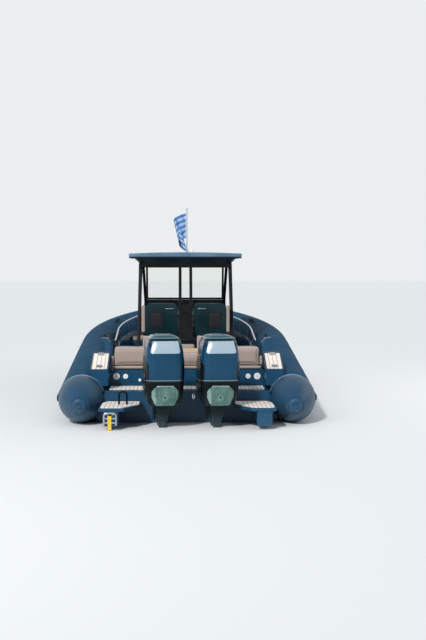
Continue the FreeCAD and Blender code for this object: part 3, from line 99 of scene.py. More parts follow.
bpy.ops.mesh.primitive_grid_add(x_subdivisions=8, y_subdivisions=8, size=400.0)
floor = bpy.context.object
floor.name = "studio_floor"
floor_finish = bpy.data.materials.new("floor_paint")
floor_finish.use_nodes = True
floor_shader = floor_finish.node_tree.nodes["Principled BSDF"]
floor_shader.inputs["Base Color"].default_value = FLOOR_COLOUR
floor_shader.inputs["Roughness"].default_value = 0.7
floor_grit = put(floor_finish.node_tree, "ShaderNodeTexNoise", {"Scale": 30.0})
floor_bump = put(floor_finish.node_tree, "ShaderNodeBump", {"Height": floor_grit.outputs["Fac"], "Strength": 0.05})
floor_finish.node_tree.links.new(floor_bump.outputs["Normal"], floor_shader.inputs["Normal"])
floor.data.materials.append(floor_finish)

world = bpy.data.worlds.new("studio_air")
bpy.context.scene.world = world
world.use_nodes = True
air = world.node_tree
lit_air = air.nodes["Background"]
lit_air.inputs["Color"].default_value = AIR_COLOUR
lit_air.inputs["Strength"].default_value = 0.5
backdrop = put(air, "ShaderNodeBackground", {"Color": BACKDROP_COLOUR, "Strength": 1.0})
rays = put(air, "ShaderNodeLightPath")
mirrored_ray = put(air, "ShaderNodeMath", {0: rays.outputs["Is Camera Ray"], 1: rays.outputs["Is Glossy Ray"]},
                   operation="MAXIMUM")
any_seen = put(air, "ShaderNodeMath", {0: mirrored_ray.outputs[0], 1: rays.outputs["Is Transmission Ray"]},
               operation="MAXIMUM")
seen_or_lit = put(air, "ShaderNodeMixShader", {0: any_seen.outputs[0], 1: lit_air.outputs[0],
                                               2: backdrop.outputs[0]})
air.links.new(seen_or_lit.outputs[0], air.nodes["World Output"].inputs["Surface"])

# Collar. Coated fabric tubes, glued from panels, with moulded rubber cones and caps at the stern, a
# ribbed rubbing strake outside, and handles and valves bonded on. The fabric is matt, faded by the sun,
# with a dry film of salt that thins out upwards from the waterline. Seams are covered by glued tapes.
TUBE_NAVY = (8, 60, 88)
TUBE_FADED = (18, 72, 102)
CONE_NAVY = (24, 62, 88)
CONE_FADED = (40, 80, 106)
STRAKE_NAVY = (14, 40, 60)
RUBBER_BLACK = (14, 17, 21)
SALT_GREY = (150, 165, 180)
TAPE_GREY = (112, 128, 146)
SEAM_PLACE = Vector((1.390, 0.130, 0.310))
FLARE = math.radians(1.05)
LIFT = math.radians(3.95)
TUBE_JOINTS = (1.45, 2.95, 4.45)
TAPE_WIDTH = 0.05
TAPE_THICKNESS = 0.0018


def paint(red, green, blue):
    """A colour given as it shows on a screen, turned into the shader's linear values."""
    def linear(value):
        share = value / 255
        return share / 12.92 if share <= 0.04045 else ((share + 0.055) / 1.055) ** 2.4
    return linear(red), linear(green), linear(blue), 1.0


def make_group(name, inputs, outputs):
    """An empty shader group with named sockets: returns its tree, its given values and its end."""
    tree = bpy.data.node_groups.new(name, "ShaderNodeTree")
    for socket, value in inputs.items():
        kind = "Vector" if value is None else "Color" if isinstance(value, tuple) else "Float"
        made = tree.interface.new_socket(name=socket, in_out="INPUT", socket_type="NodeSocket" + kind)
        if value is not None:
            made.default_value = value
    for socket, kind in outputs.items():
        tree.interface.new_socket(name=socket, in_out="OUTPUT", socket_type="NodeSocket" + kind)
    return tree, tree.nodes.new("NodeGroupInput").outputs, tree.nodes.new("NodeGroupOutput")


def calc(tree, operation, first, second=0.0, third=0.0):
    """A sum on values or sockets."""
    return put(tree, "ShaderNodeMath", {0: first, 1: second, 2: third}, operation=operation).outputs[0]


def ramp(tree, value, low, high, start=0.0, end=1.0):
    """A value spread between two limits, level outside them."""
    return put(tree, "ShaderNodeMapRange", {"Value": value, "From Min": low, "From Max": high, "To Min": start,
                                            "To Max": end}).outputs["Result"]


def tint(tree, share, under, over):
    """One colour laid over another by a share."""
    return put(tree, "ShaderNodeMix", {0: share, 6: under, 7: over}, data_type="RGBA").outputs[2]


def noise(tree, place, scale, detail=2.0, roughness=0.5):
    """The grey of a noise texture."""
    return put(tree, "ShaderNodeTexNoise", {"Vector": place, "Scale": scale, "Detail": detail,
                                            "Roughness": roughness}).outputs["Fac"]


def stretched(tree, place, factors):
    """A place multiplied along each axis."""
    return put(tree, "ShaderNodeVectorMath", {0: place, 1: factors}, operation="MULTIPLY").outputs[0]


def coordinates(tree, kind="Object"):
    """The place of each point, in its object's frame or on its UV map."""
    return put(tree, "ShaderNodeTexCoord").outputs[kind]


def weathering_group():
    """Cloudy fading, dried runs, wear along edges, and salt that thins out with height."""
    tree, given, end = make_group(
        "Weathering",
        {"Vector": None, "Colour": (0.5, 0.5, 0.5, 1.0), "Faded": (0.6, 0.6, 0.6, 1.0), "Fading": 0.3,
         "Cloud Scale": 3.0, "Runs": 0.1, "Edge Wear": 0.2, "Salt": (0.6, 0.6, 0.6, 1.0), "Salt Amount": 0.1,
         "Salt Height": 0.4, "Roughness": 0.5, "Roughness Spread": 0.1},
        {"Colour": "Color", "Roughness": "Float"},
    )
    clouds = noise(tree, given["Vector"], given["Cloud Scale"], 6.0, 0.6)
    faded = ramp(tree, clouds, 0.35, 0.72)
    trails = noise(tree, stretched(tree, given["Vector"], (9.0, 9.0, 0.8)), 3.0, 5.0, 0.65)
    run = calc(tree, "MULTIPLY", ramp(tree, trails, 0.5, 0.75), given["Runs"])
    edges = put(tree, "ShaderNodeNewGeometry").outputs["Pointiness"]
    rubbed = calc(tree, "MULTIPLY", ramp(tree, edges, 0.52, 0.62), given["Edge Wear"])
    share = calc(tree, "MULTIPLY_ADD", faded, given["Fading"], calc(tree, "ADD", run, rubbed))
    colour = tint(tree, share, given["Colour"], given["Faded"])
    height = put(tree, "ShaderNodeSeparateXYZ", {0: given["Vector"]}).outputs["Z"]
    low = ramp(tree, height, 0.0, given["Salt Height"], 1.0, 0.0)
    specks = noise(tree, given["Vector"], 60.0, 8.0, 0.7)
    dried = calc(tree, "MULTIPLY", low, ramp(tree, specks, 0.42, 0.7))
    salted = calc(tree, "MULTIPLY", dried, given["Salt Amount"])
    tree.links.new(tint(tree, salted, colour, given["Salt"]), end.inputs["Colour"])
    rough = calc(tree, "MULTIPLY_ADD", calc(tree, "ADD", faded, run), given["Roughness Spread"],
                 given["Roughness"])
    tree.links.new(rough, end.inputs["Roughness"])
    return tree


def grain_group():
    """Fine and coarse noise as a bump, for moulded skins, castings and coated cloth."""
    tree, given, end = make_group(
        "Surface grain",
        {"Vector": None, "Fine Scale": 400.0, "Coarse Scale": 8.0, "Coarse Share": 0.5, "Strength": 0.2,
         "Distance": 0.001},
        {"Normal": "Vector"},
    )
    fine, coarse = (noise(tree, given["Vector"], given[scale], 3.0) for scale in ("Fine Scale", "Coarse Scale"))
    mixed = put(tree, "ShaderNodeMix", {0: given["Coarse Share"], 2: fine, 3: coarse})
    bump = put(tree, "ShaderNodeBump", {"Height": mixed.outputs[0], "Strength": given["Strength"],
                                        "Distance": given["Distance"]})
    tree.links.new(bump.outputs["Normal"], end.inputs["Normal"])
    return tree


WEATHERING = weathering_group()
GRAIN = grain_group()


def surface(name, colour, faded, fading=0.3, clouds=3.0, runs=0.1, edge=0.3, salt=0.0, salt_height=0.5, rough=0.5,
            spread=0.1, fine=400.0, coarse=8.0, share=0.3, bump=0.2, depth=0.001, metallic=0.0, coat=0.0,
            specular=0.5):
    """A weathered material on Object coordinates."""
    material = bpy.data.materials.new(name)
    material.use_nodes = True
    tree = material.node_tree
    shader = tree.nodes["Principled BSDF"]
    for socket, value in (("Metallic", metallic), ("Coat Weight", coat), ("Coat Roughness", 0.04),
                          ("Specular IOR Level", specular)):
        shader.inputs[socket].default_value = value
    place = coordinates(tree)
    weather = put(tree, "ShaderNodeGroup", node_tree=WEATHERING)
    grain = put(tree, "ShaderNodeGroup", node_tree=GRAIN)
    for node, values in (
        (weather, {"Colour": paint(*colour), "Faded": paint(*faded), "Fading": fading, "Cloud Scale": clouds,
                   "Runs": runs, "Edge Wear": edge, "Salt": paint(*SALT_GREY), "Salt Amount": salt,
                   "Salt Height": salt_height, "Roughness": rough, "Roughness Spread": spread}),
        (grain, {"Fine Scale": fine, "Coarse Scale": coarse, "Coarse Share": share, "Strength": bump,
                 "Distance": depth}),
    ):
        for socket, value in values.items():
            node.inputs[socket].default_value = value
        tree.links.new(place, node.inputs["Vector"])
    tree.links.new(weather.outputs["Colour"], shader.inputs["Base Color"])
    tree.links.new(weather.outputs["Roughness"], shader.inputs["Roughness"])
    tree.links.new(grain.outputs["Normal"], shader.inputs["Normal"])
    return material


def overlay(material, mask, colour, height=0.0, depth=0.002):
    """Lays another colour, and a step up or down, over a material where a mask is 1."""
    tree = material.node_tree
    shader = tree.nodes["Principled BSDF"]
    under = shader.inputs["Base Color"].links[0].from_socket
    tree.links.new(tint(tree, mask, under, paint(*colour)), shader.inputs["Base Color"])
    if height:
        skin = shader.inputs["Normal"].links[0].from_socket
        step = put(tree, "ShaderNodeBump", {"Height": calc(tree, "MULTIPLY", mask, height), "Distance": depth,
                                            "Normal": skin})
        tree.links.new(step.outputs["Normal"], shader.inputs["Normal"])


def dress(material, *names):
    """Give CAD nodes a better material in their objects' slots."""
    for name in names:
        for place in nodes[name].material_slots:
            place.material = material


def choose(*pieces):
    """Select only these objects, the first of them active."""
    bpy.ops.object.select_all(action="DESELECT")
    for piece in pieces:
        piece.select_set(True)
    bpy.context.view_layer.objects.active = pieces[0]


def finish(piece, *modifiers):
    """Add modifiers, each a kind with its settings, and apply each one at once."""
    choose(piece)
    for kind, settings in modifiers:
        made = piece.modifiers.new(kind.lower(), kind)
        for name, value in settings.items():
            setattr(made, name, value)
        bpy.ops.object.modifier_apply(modifier=made.name)


def rounding(width):
    """The modifier that rounds a piece's sharp edges."""
    return "BEVEL", {"width": width, "segments": 2, "limit_method": "ANGLE"}


def sized(size, place, turn=(0.0, 0.0, 0.0), add=bpy.ops.mesh.primitive_plane_add, **values):
    """A plane or another primitive of a size that is in its mesh, at a place and with a turn."""
    add(size=1.0, location=place, rotation=turn, **values)
    piece = bpy.context.object
    piece.scale = size
    bpy.ops.object.transform_apply(location=False, rotation=False, scale=True)
    return piece


WHOLE = ("select_all", {"action": "SELECT"})
WELD = ("remove_doubles", {"threshold": 0.00005})


def shape(piece, *steps, facing=None):
    """Runs mesh operators, each with its settings, on all of a piece or on the faces whose normals a test
    picks."""
    choose(piece)
    bpy.ops.object.mode_set(mode="EDIT")
    bpy.ops.mesh.select_all(action="DESELECT" if facing else "SELECT")
    if facing:
        bpy.ops.object.mode_set(mode="OBJECT")
        for face in piece.data.polygons:
            face.select = facing(face.normal)
        bpy.ops.object.mode_set(mode="EDIT")
    for name, settings in steps:
        getattr(bpy.ops.mesh, name)(**settings)
    bpy.ops.object.mode_set(mode="OBJECT")


def outline(size, place, turn, corner):
    """The edges of a rectangle with rounded corners."""
    line = sized(size, place, turn)
    shape(line, ("bevel", {"offset": corner, "segments": 5, "affect": "VERTICES"}), ("delete", {"type": "ONLY_FACE"}))
    return line


def fit(piece, name, material, slot, body="root", sharp=35.0):
    """Name a finished piece, set its place in its mesh, and give it its material and body. Its slot is not used."""
    choose(piece)
    bpy.ops.object.transform_apply(location=True, rotation=True, scale=True)
    bpy.ops.object.shade_smooth_by_angle(angle=math.radians(sharp))
    piece.name = name
    piece.data.name = name
    piece.data.materials.clear()
    piece.data.materials.append(material)
    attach(piece, body)
    return piece


def copied(piece, move=Matrix.Identity(4)):
    """A copy with its own mesh, moved, or mirrored with its faces turned outwards again."""
    twin = bpy.data.objects.new(piece.name, piece.data.copy())
    bpy.context.collection.objects.link(twin)
    twin.data.transform(move)
    if move.determinant() < 0:
        twin.data.flip_normals()
    return twin


PORT_SIDE = Matrix.Scale(-1.0, 4, (1.0, 0.0, 0.0))


def fit_both(piece, name, *values, **more):
    """Fits a starboard piece, and a mirrored copy of it to port."""
    fit(piece, name, *values, **more)
    fit(copied(piece, PORT_SIDE), name.replace("starboard", "port"), *values, **more)


def bare_copy(piece, name):
    """A named copy with its own mesh and no materials."""
    twin = copied(piece)
    twin.name = name
    twin.data.materials.clear()
    return twin


def keep_above(height):
    """A cut that keeps what is higher."""
    return (0.0, 0.0, height), (0.0, 0.0, -1.0)


def keep_below(height):
    """A cut that keeps what is lower."""
    return (0.0, 0.0, height), (0.0, 0.0, 1.0)


def keep_aft(place):
    """A cut that keeps what is further aft."""
    return (0.0, place, 0.0), (0.0, 1.0, 0.0)


def skin(piece, cuts, thickness, edge=0.0):
    """A layer over a hard piece: its skin on the near side of each cut, a point and a normal, thickened."""
    layer = bare_copy(piece, piece.name + "_layer")
    steps = [WELD]
    for point, normal in cuts:
        steps += [WHOLE, ("bisect", {"plane_co": point, "plane_no": normal, "clear_outer": True})]
    shape(layer, *steps)
    finish(layer, ("SOLIDIFY", {"thickness": thickness, "offset": 1.0, "use_even_offset": True}))
    if edge:
        finish(layer, rounding(edge))
    return layer


tube_fabric = surface("tube_fabric", TUBE_NAVY, TUBE_FADED, fading=0.5, clouds=1.6, runs=0.2, salt=0.10,
                      rough=0.6, spread=0.14, fine=900.0, coarse=5.0, share=0.45, bump=0.35, depth=0.002,
                      specular=0.06)
cone_rubber = surface("cone_rubber", CONE_NAVY, CONE_FADED, fading=0.4, clouds=2.5, salt=0.45, salt_height=0.35,
                      rough=0.36, spread=0.2, fine=700.0, bump=0.3, depth=0.0015, specular=0.25)
strake_rubber = surface("strake_rubber", STRAKE_NAVY, (32, 60, 82), fading=0.35, clouds=6.0, edge=0.6, rough=0.55,
                        fine=500.0, bump=0.4, specular=0.15)
fitting_rubber = surface("fitting_rubber", RUBBER_BLACK, (46, 50, 56), fading=0.4, clouds=20.0, edge=0.6,
                         rough=0.55, fine=600.0, bump=0.3, specular=0.15)
tape_fabric = surface("tape_fabric", TAPE_GREY, (150, 164, 178), fading=0.5, clouds=9.0, salt=0.2, rough=0.55,
                      fine=900.0, bump=0.4)
dress(tube_fabric, "tube_port", "tube_starboard", "tube_bow")
dress(cone_rubber, "tube_cones")
dress(strake_rubber, "rub_strake")
dress(fitting_rubber, "tube_fittings")

along_tube = Vector((math.sin(FLARE), math.cos(FLARE) * math.cos(LIFT), math.cos(FLARE) * math.sin(LIFT)))
for number, distance in enumerate((0.0,) + TUBE_JOINTS):
    middle = SEAM_PLACE + along_tube * (distance + TAPE_WIDTH / 2)
    tape = skin(nodes["tube_starboard"], ((middle + along_tube * TAPE_WIDTH / 2, along_tube),
                                          (middle - along_tube * TAPE_WIDTH / 2, -along_tube)), TAPE_THICKNESS)
    tape_material, tape_slot = (tape_fabric, "cone_rubber") if number == 0 else (tube_fabric, "tube_fabric")
    fit_both(tape, "tube_tape_starboard_%d" % number, tape_material, tape_slot)

# Hull and mouldings. Glass-fibre shells finished in glossy navy gelcoat under clear wax: the hull, the
# stern moulding, platforms, quarter mouldings and bow moulding. A stainless U-bolt stands on the riser
# between the engines.
GELCOAT_NAVY = (4, 54, 82)
GELCOAT_FADED = (18, 74, 106)
U_BOLT_PLACE = (0.081, 0.0, 0.345)
U_BOLT_RADIUS = 0.026
U_BOLT_BAR = 0.0045
U_BOLT_STRETCH = 1.5
FLANGE_THICKNESS = 0.004
gelcoat = surface("navy_gelcoat", GELCOAT_NAVY, GELCOAT_FADED, fading=0.35, clouds=1.2, runs=0.25, salt=0.25,
                  rough=0.2, spread=0.14, fine=60.0, coarse=2.0, share=0.8, bump=0.06, depth=0.002, coat=0.1,
                  specular=0.12)
dress(gelcoat, "hull", "stern_moulding", "swim_platforms", "quarter_mouldings", "bow_moulding", "bow_hatch")
steel = surface("polished_steel", (178, 182, 188), (130, 136, 144), fading=0.3, clouds=12.0, runs=0.0, edge=0.0,
                rough=0.18, spread=0.14, fine=300.0, bump=0.05, metallic=1.0)

bpy.ops.mesh.primitive_torus_add(major_radius=U_BOLT_RADIUS, minor_radius=U_BOLT_BAR, major_segments=32,
                                 minor_segments=12, location=U_BOLT_PLACE, rotation=(0.0, math.pi / 2, 0.0))
eye = bpy.context.object
eye.scale = (1.0, U_BOLT_STRETCH, 1.0)
bpy.ops.mesh.primitive_cylinder_add(vertices=32, radius=U_BOLT_RADIUS * U_BOLT_STRETCH, depth=FLANGE_THICKNESS,
                                    location=Vector(U_BOLT_PLACE) - Vector((0.0, FLANGE_THICKNESS / 2, 0.0)),
                                    rotation=(math.pi / 2, 0, 0))
flange = bpy.context.object
flange.scale = (0.5, 1.0, 1.0)
finish(flange, rounding(0.0012))
choose(eye, flange)
bpy.ops.object.join()
fit(eye, "riser_eye", steel, "steel")

# Decking. Cream synthetic teak laid in planks with tan caulking, on the sole, the shelf, the platforms,
# the quarters and the table, each panel glued down and brushed along its planks.
CREAM = (240, 229, 218)
CREAM_FADED = (250, 243, 236)
CAULK_TAN = (190, 154, 134)
PLANK_WIDTH = 0.055
CAULK_WIDTH = 0.0075


def plank_group():
    """Planks side by side along Y: caulking between them, and a shade and a brushed grain for each."""
    tree, given, end = make_group("Planks", {"Vector": None, "Plank": PLANK_WIDTH, "Caulk": CAULK_WIDTH},
                                  {"Caulk": "Float", "Shade": "Float"})
    across = put(tree, "ShaderNodeSeparateXYZ", {0: given["Vector"]}).outputs["X"]
    number = calc(tree, "FLOOR", calc(tree, "DIVIDE", across, given["Plank"]))
    within = calc(tree, "SUBTRACT", across, calc(tree, "MULTIPLY", number, given["Plank"]))
    tree.links.new(calc(tree, "LESS_THAN", within, given["Caulk"]), end.inputs["Caulk"])
    shade = put(tree, "ShaderNodeTexWhiteNoise", {"W": number}, noise_dimensions="1D").outputs["Value"]
    lines = noise(tree, stretched(tree, given["Vector"], (260.0, 4.0, 40.0)), 1.0, 3.0)
    tree.links.new(calc(tree, "MULTIPLY_ADD", shade, 0.35, calc(tree, "MULTIPLY", lines, 0.5)),
                   end.inputs["Shade"])
    return tree


decking = surface("synthetic_teak", CREAM, CREAM_FADED, fading=0.5, clouds=5.0, rough=0.62, spread=0.15, fine=500.0,
                  coarse=40.0, share=0.5, bump=0.25, specular=0.25)
deck_tree = decking.node_tree
planks = put(deck_tree, "ShaderNodeGroup", {"Vector": coordinates(deck_tree)}, node_tree=plank_group())
overlay(decking, calc(deck_tree, "MULTIPLY", planks.outputs["Shade"], 0.45), (216, 200, 186))
overlay(decking, planks.outputs["Caulk"], CAULK_TAN, height=-1.0)
dress(decking, "sole", "stern_treads")
table_laminate = surface("table_laminate", (228, 192, 156), (238, 208, 176), fading=0.5, clouds=7.0, rough=0.35,
                         fine=300.0, bump=0.08, specular=0.3)
dress(table_laminate, "cockpit_table")

# Stern fittings. A polished ladder and boarding hoop, white fittings with pale centres on the panel, and
# the yellow webbing strap that the ladder is pulled down by, doubled at its head.
DISC_Y = 0.651
DISCS = (
    # place across, height, radius
    (-0.960, 0.552, 0.045), (-0.836, 0.552, 0.034), (-0.642, 0.502, 0.019), (0.836, 0.552, 0.034),
    (0.960, 0.552, 0.045),
)
STRAP_PLACE = (-0.975, -0.798, 0.095)
STRAP_SIZE = (0.048, 0.176)
STRAP_THICKNESS = 0.0026
DOUBLING_FOOT = 0.140
CENTRE_SHARE = 0.32
WEBBING_YELLOW = (232, 190, 52)
white_plastic = surface("white_plastic", (232, 234, 236), (206, 209, 210), fading=0.4, clouds=14.0, edge=0.0,
                        rough=0.3, fine=300.0, bump=0.05)
grey_plastic = surface("grey_plastic", (128, 138, 150), (152, 160, 170), fading=0.4, clouds=30.0, rough=0.35,
                       fine=500.0, bump=0.1)
pale_plastic = surface("pale_plastic", (206, 209, 213), (190, 194, 199), fading=0.4, clouds=14.0, edge=0.0,
                       rough=0.35, fine=500.0, bump=0.1)
black_plastic = surface("black_plastic", (18, 19, 22), (42, 44, 48), fading=0.4, clouds=14.0, edge=0.6, rough=0.42,
                        fine=700.0, bump=0.3, specular=0.4)
dress(steel, "table_pedestal", "ladder", "flag_staff", "side_rails", "cleats")
dress(white_plastic, "stern_discs", "stern_light")


def weave_group():
    """The height of crossing threads on a UV map."""
    tree, given, end = make_group("Weave", {"Vector": None, "Threads": 200.0, "Picks": 200.0},
                                  {"Height": "Float"})
    split = put(tree, "ShaderNodeSeparateXYZ", {0: given["Vector"]})
    threads = calc(tree, "SINE", calc(tree, "MULTIPLY", split.outputs["X"], given["Threads"]))
    picks = calc(tree, "SINE", calc(tree, "MULTIPLY", split.outputs["Y"], given["Picks"]))
    tree.links.new(calc(tree, "MULTIPLY_ADD", calc(tree, "MULTIPLY", threads, picks), 0.5, 0.5),
                   end.inputs["Height"])
    return tree


WEAVE = weave_group()


def woven(material, threads, picks, depth, shadow):
    """Adds a weave to a cloth, as a bump and as darker gaps between its threads."""
    tree = material.node_tree
    weave = put(tree, "ShaderNodeGroup", {"Vector": coordinates(tree, "UV")}, node_tree=WEAVE)
    weave.inputs["Threads"].default_value = threads
    weave.inputs["Picks"].default_value = picks
    gap = calc(tree, "MULTIPLY", calc(tree, "SUBTRACT", 1.0, weave.outputs["Height"]), 0.45)
    overlay(material, gap, shadow, height=-1.0, depth=depth)


webbing = surface("strap_webbing", WEBBING_YELLOW, (244, 214, 110), fading=0.5, clouds=30.0, rough=0.8, fine=900.0,
                  bump=0.3, specular=0.2)
woven(webbing, 2 * math.pi * 16, 2 * math.pi * 90, 0.0008, (150, 112, 20))
strap = sized((STRAP_SIZE[0], STRAP_SIZE[1], 1.0), STRAP_PLACE, (math.pi / 2, 0.0, 0.0),
              bpy.ops.mesh.primitive_grid_add, x_subdivisions=8, y_subdivisions=48)
for corner in strap.data.vertices:
    down = 0.5 - corner.co.y / STRAP_SIZE[1]
    corner.co.z += 0.0022 * math.sin(down * 7.0) + 0.0012 * math.cos(corner.co.x * 60.0 + down * 3.0)
    corner.co.x *= 1.0 - 0.05 * math.sin(down * math.pi)
finish(strap, ("SOLIDIFY", {"thickness": STRAP_THICKNESS, "offset": 0.0}))
fit(strap, "ladder_strap_webbing", webbing, "yellow_strap", sharp=60.0)
head = copied(strap)
shape(head, ("bisect", {"plane_co": (0.0, 0.0, DOUBLING_FOOT), "plane_no": (0.0, 0.0, 1.0), "clear_inner": True}),
      WHOLE, ("fill_holes", {"sides": 0}))
head.data.transform(Matrix.Translation((0.0, -STRAP_THICKNESS, 0.0)))
fit(head, "ladder_strap_doubling", webbing, "yellow_strap", sharp=60.0)
for piece in (strap, head):
    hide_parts("ladder_strap")

for number, (across, height, radius) in enumerate(DISCS):
    bpy.ops.mesh.primitive_cylinder_add(vertices=32, radius=radius * CENTRE_SHARE, depth=0.008,
                                        location=(across, DISC_Y - 0.003, height), rotation=(math.pi / 2, 0.0, 0.0))
    centre = bpy.context.object
    shape(centre, ("inset", {"thickness": radius * 0.12, "depth": -0.0025}), facing=lambda out: abs(out.z) > 0.9)
    finish(centre, rounding(0.001))
    fit(centre, "fitting_centre_%d" % number, pale_plastic, "white_plastic")

# Aft seat. Taupe marine vinyl over foam, sewn in panels with piped edges: the pad over the engines' well,
# a backrest in three, two arm pads. Each cushion is cut, blown up as cloth, and sewn down along its seams.
TAUPE = (158, 142, 133)
TAUPE_FADED = (176, 161, 151)
PIPING_LIGHT = (196, 184, 174)
CLOTH_FRAMES = 20
STUFFING_PRESSURE = 4.0
PIPING_BORE = 0.0045
PIPING_CORNER = 0.03


def pebble_group():
    """The fine pebbled grain of coated upholstery, as a bump, with a softer crease now and then, and a share for
    painted shade in the hollows between its pebbles.
    """
    tree, given, end = make_group("Pebble grain", {"Vector": None, "Scale": 320.0, "Distance": 0.0012},
                                  {"Normal": "Vector", "Hollow Shade": "Float"})
    cells = put(tree, "ShaderNodeTexVoronoi", {"Vector": given["Vector"], "Scale": given["Scale"]},
                feature="SMOOTH_F1")
    creases = noise(tree, given["Vector"], 14.0, 6.0, 0.7)
    height = calc(tree, "MULTIPLY_ADD", creases, 3.0, calc(tree, "MULTIPLY", cells.outputs["Distance"], -1.0))
    bump = put(tree, "ShaderNodeBump", {"Height": height, "Strength": 0.55, "Distance": given["Distance"]})
    tree.links.new(bump.outputs["Normal"], end.inputs["Normal"])
    tree.links.new(ramp(tree, cells.outputs["Distance"], 0.3, 0.8), end.inputs["Hollow Shade"])
    return tree


def vinyl(name, colour, faded, **values):
    """Coated cloth for upholstery, with its pebbled grain and painted shade in the grain's hollows."""
    material = surface(name, colour, faded, fading=0.5, clouds=4.0, runs=0.0, edge=0.5, rough=0.55, spread=0.15,
                       specular=0.2, **values)
    tree = material.node_tree
    shader = tree.nodes["Principled BSDF"]
    grain = put(tree, "ShaderNodeGroup", {"Vector": coordinates(tree)}, node_tree=PEBBLES)
    tree.links.new(grain.outputs["Normal"], shader.inputs["Normal"])
    overlay(material, calc(tree, "MULTIPLY", grain.outputs["Hollow Shade"], 0.25),
            tuple(int(value * 0.72) for value in colour))
    return material


PEBBLES = pebble_group()
taupe_vinyl = vinyl("taupe_vinyl", TAUPE, TAUPE_FADED)
piping_vinyl = vinyl("piping_vinyl", PIPING_LIGHT, (208, 198, 190))


def box_of(piece):
    """Lowest and highest corners of a piece whose place is in its mesh."""
    corners = [vertex.co for vertex in piece.data.vertices]
    return [Vector([pick(corner[i] for corner in corners) for i in range(3)]) for pick in (min, max)]


def cushions_of(node, *mirrored):
    """Merged copies of a node's solids, in order along the boat, then across, then up, but for those, by
    number, that are mirrored from the other side."""
    whole = bare_copy(nodes[node], node + "_cut")
    shape(whole, WELD)
    bpy.ops.mesh.separate(type="LOOSE")

    def order(piece):
        low, high = box_of(piece)
        return [round((low[i] + high[i]) / 2, 1) for i in (1, 0, 2)]
    pieces = sorted(bpy.context.selected_objects, key=order)
    for number in mirrored:
        bpy.data.objects.remove(pieces[number])
    return [piece for number, piece in enumerate(pieces) if number not in mirrored]


def stuff(pad, voxel=0.014, swell=0.014, slack=0.006, room=((0, 0), (0, 0), (0, 0.010))):
    """Turns a cut cushion into a stuffed one: drawn in, remeshed, blown up as cloth, held to a greatest
    swell, pressed flat where it meets its neighbours or what it rests on, and smoothed."""
    low, high = box_of(pad)
    middle = (low + high) / 2
    for corner in pad.data.vertices:
        for i in range(3):
            size = high[i] - low[i]
            corner.co[i] = middle[i] + (corner.co[i] - middle[i]) * (1.0 - 2.0 * slack / size)
    finish(pad, ("REMESH", {"mode": "VOXEL", "voxel_size": voxel, "use_smooth_shade": True}))
    start = [vertex.co.copy() for vertex in pad.data.vertices]
    cloth = pad.modifiers.new("stuffing", "CLOTH")
    cloth.settings.use_pressure = True
    cloth.settings.uniform_pressure_force = STUFFING_PRESSURE
    cloth.settings.effector_weights.gravity = 0.0
    cloth.point_cache.frame_start = 1
    cloth.point_cache.frame_end = CLOTH_FRAMES
    for step in range(1, CLOTH_FRAMES + 1):
        bpy.context.scene.frame_set(step)
    choose(pad)
    bpy.ops.object.modifier_apply(modifier=cloth.name)
    bpy.context.scene.frame_set(1)
    for vertex, before in zip(pad.data.vertices, start):
        moved = vertex.co - before
        if moved.length > swell:
            vertex.co = before + moved * (swell / moved.length)
    finish(pad, ("SMOOTH", {"factor": 0.5, "iterations": 3}), ("SUBSURF", {"levels": 1, "render_levels": 1}))
    for vertex in pad.data.vertices:
        for i in range(3):
            vertex.co[i] = min(max(vertex.co[i], low[i] - room[i][0]), high[i] + room[i][1])
    return pad


def sew(pad, axis, places, depth=0.006, width=0.007):
    """Draws a cushion's skin in along seams, each a place on an axis."""
    pad.data.update()
    pulls = []
    for vertex in pad.data.vertices:
        pull = sum(math.exp(-((vertex.co[axis] - place) / width) ** 2) for place in places)
        pulls.append((vertex, vertex.normal.copy() * (depth * pull)))
    for vertex, pull in pulls:
        vertex.co -= pull


def piping(pad, name, axis, side, inset=0.010):
    """A piped seam round one face of a cushion: a rounded outline drawn on to it and made a round bead."""
    low, high = box_of(pad)
    across = [i for i in range(3) if i != axis]
    place = (low + high) / 2
    place[axis] = high[axis] - inset if side > 0 else low[axis] + inset
    turn = {0: (math.pi / 2, 0.0, math.pi / 2), 1: (math.pi / 2, 0.0, 0.0), 2: (0.0, 0.0, 0.0)}[axis]
    bead = outline((high[across[0]] - low[across[0]] - 0.002, high[across[1]] - low[across[1]] - 0.002, 1.0), place,
                   turn, PIPING_CORNER)
    shape(bead, ("subdivide", {"number_cuts": 12}))
    finish(bead, ("SHRINKWRAP", {"target": pad, "wrap_method": "NEAREST_SURFACEPOINT"}))
    rounded_bead(bead, name, PIPING_BORE, piping_vinyl, "taupe_cushion")


def rounded_bead(bead, name, bore, material, slot):
    """A line of edges made a round bead. One to starboard is mirrored to port too."""
    choose(bead)
    bpy.ops.object.convert(target="CURVE")
    bead.data.bevel_depth = bore
    bead.data.bevel_resolution = 2
    bpy.ops.object.convert(target="MESH")
    (fit_both if "starboard" in name else fit)(bead, name, material, slot, sharp=60.0)


def upholster(pad, name, node, fill=0.7):
    """Names a finished cushion and hides the node it stands for. One to starboard is mirrored to port too."""
    fit(pad, name, taupe_vinyl, "taupe_cushion", sharp=80.0)
    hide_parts(node)
    if "starboard" in name:
        upholster(copied(pad, PORT_SIDE), name.replace("starboard", "port"), node, fill)


aft_pad = stuff(cushions_of("aft_seat_pad")[0], voxel=0.017, swell=0.012)
sew(aft_pad, 0, (-0.520, 0.0, 0.520))
sew(aft_pad, 1, (0.885,), depth=0.004)
upholster(aft_pad, "aft_seat_cushion", "aft_seat_pad")
piping(aft_pad, "aft_seat_piping", 2, 1, inset=0.014)

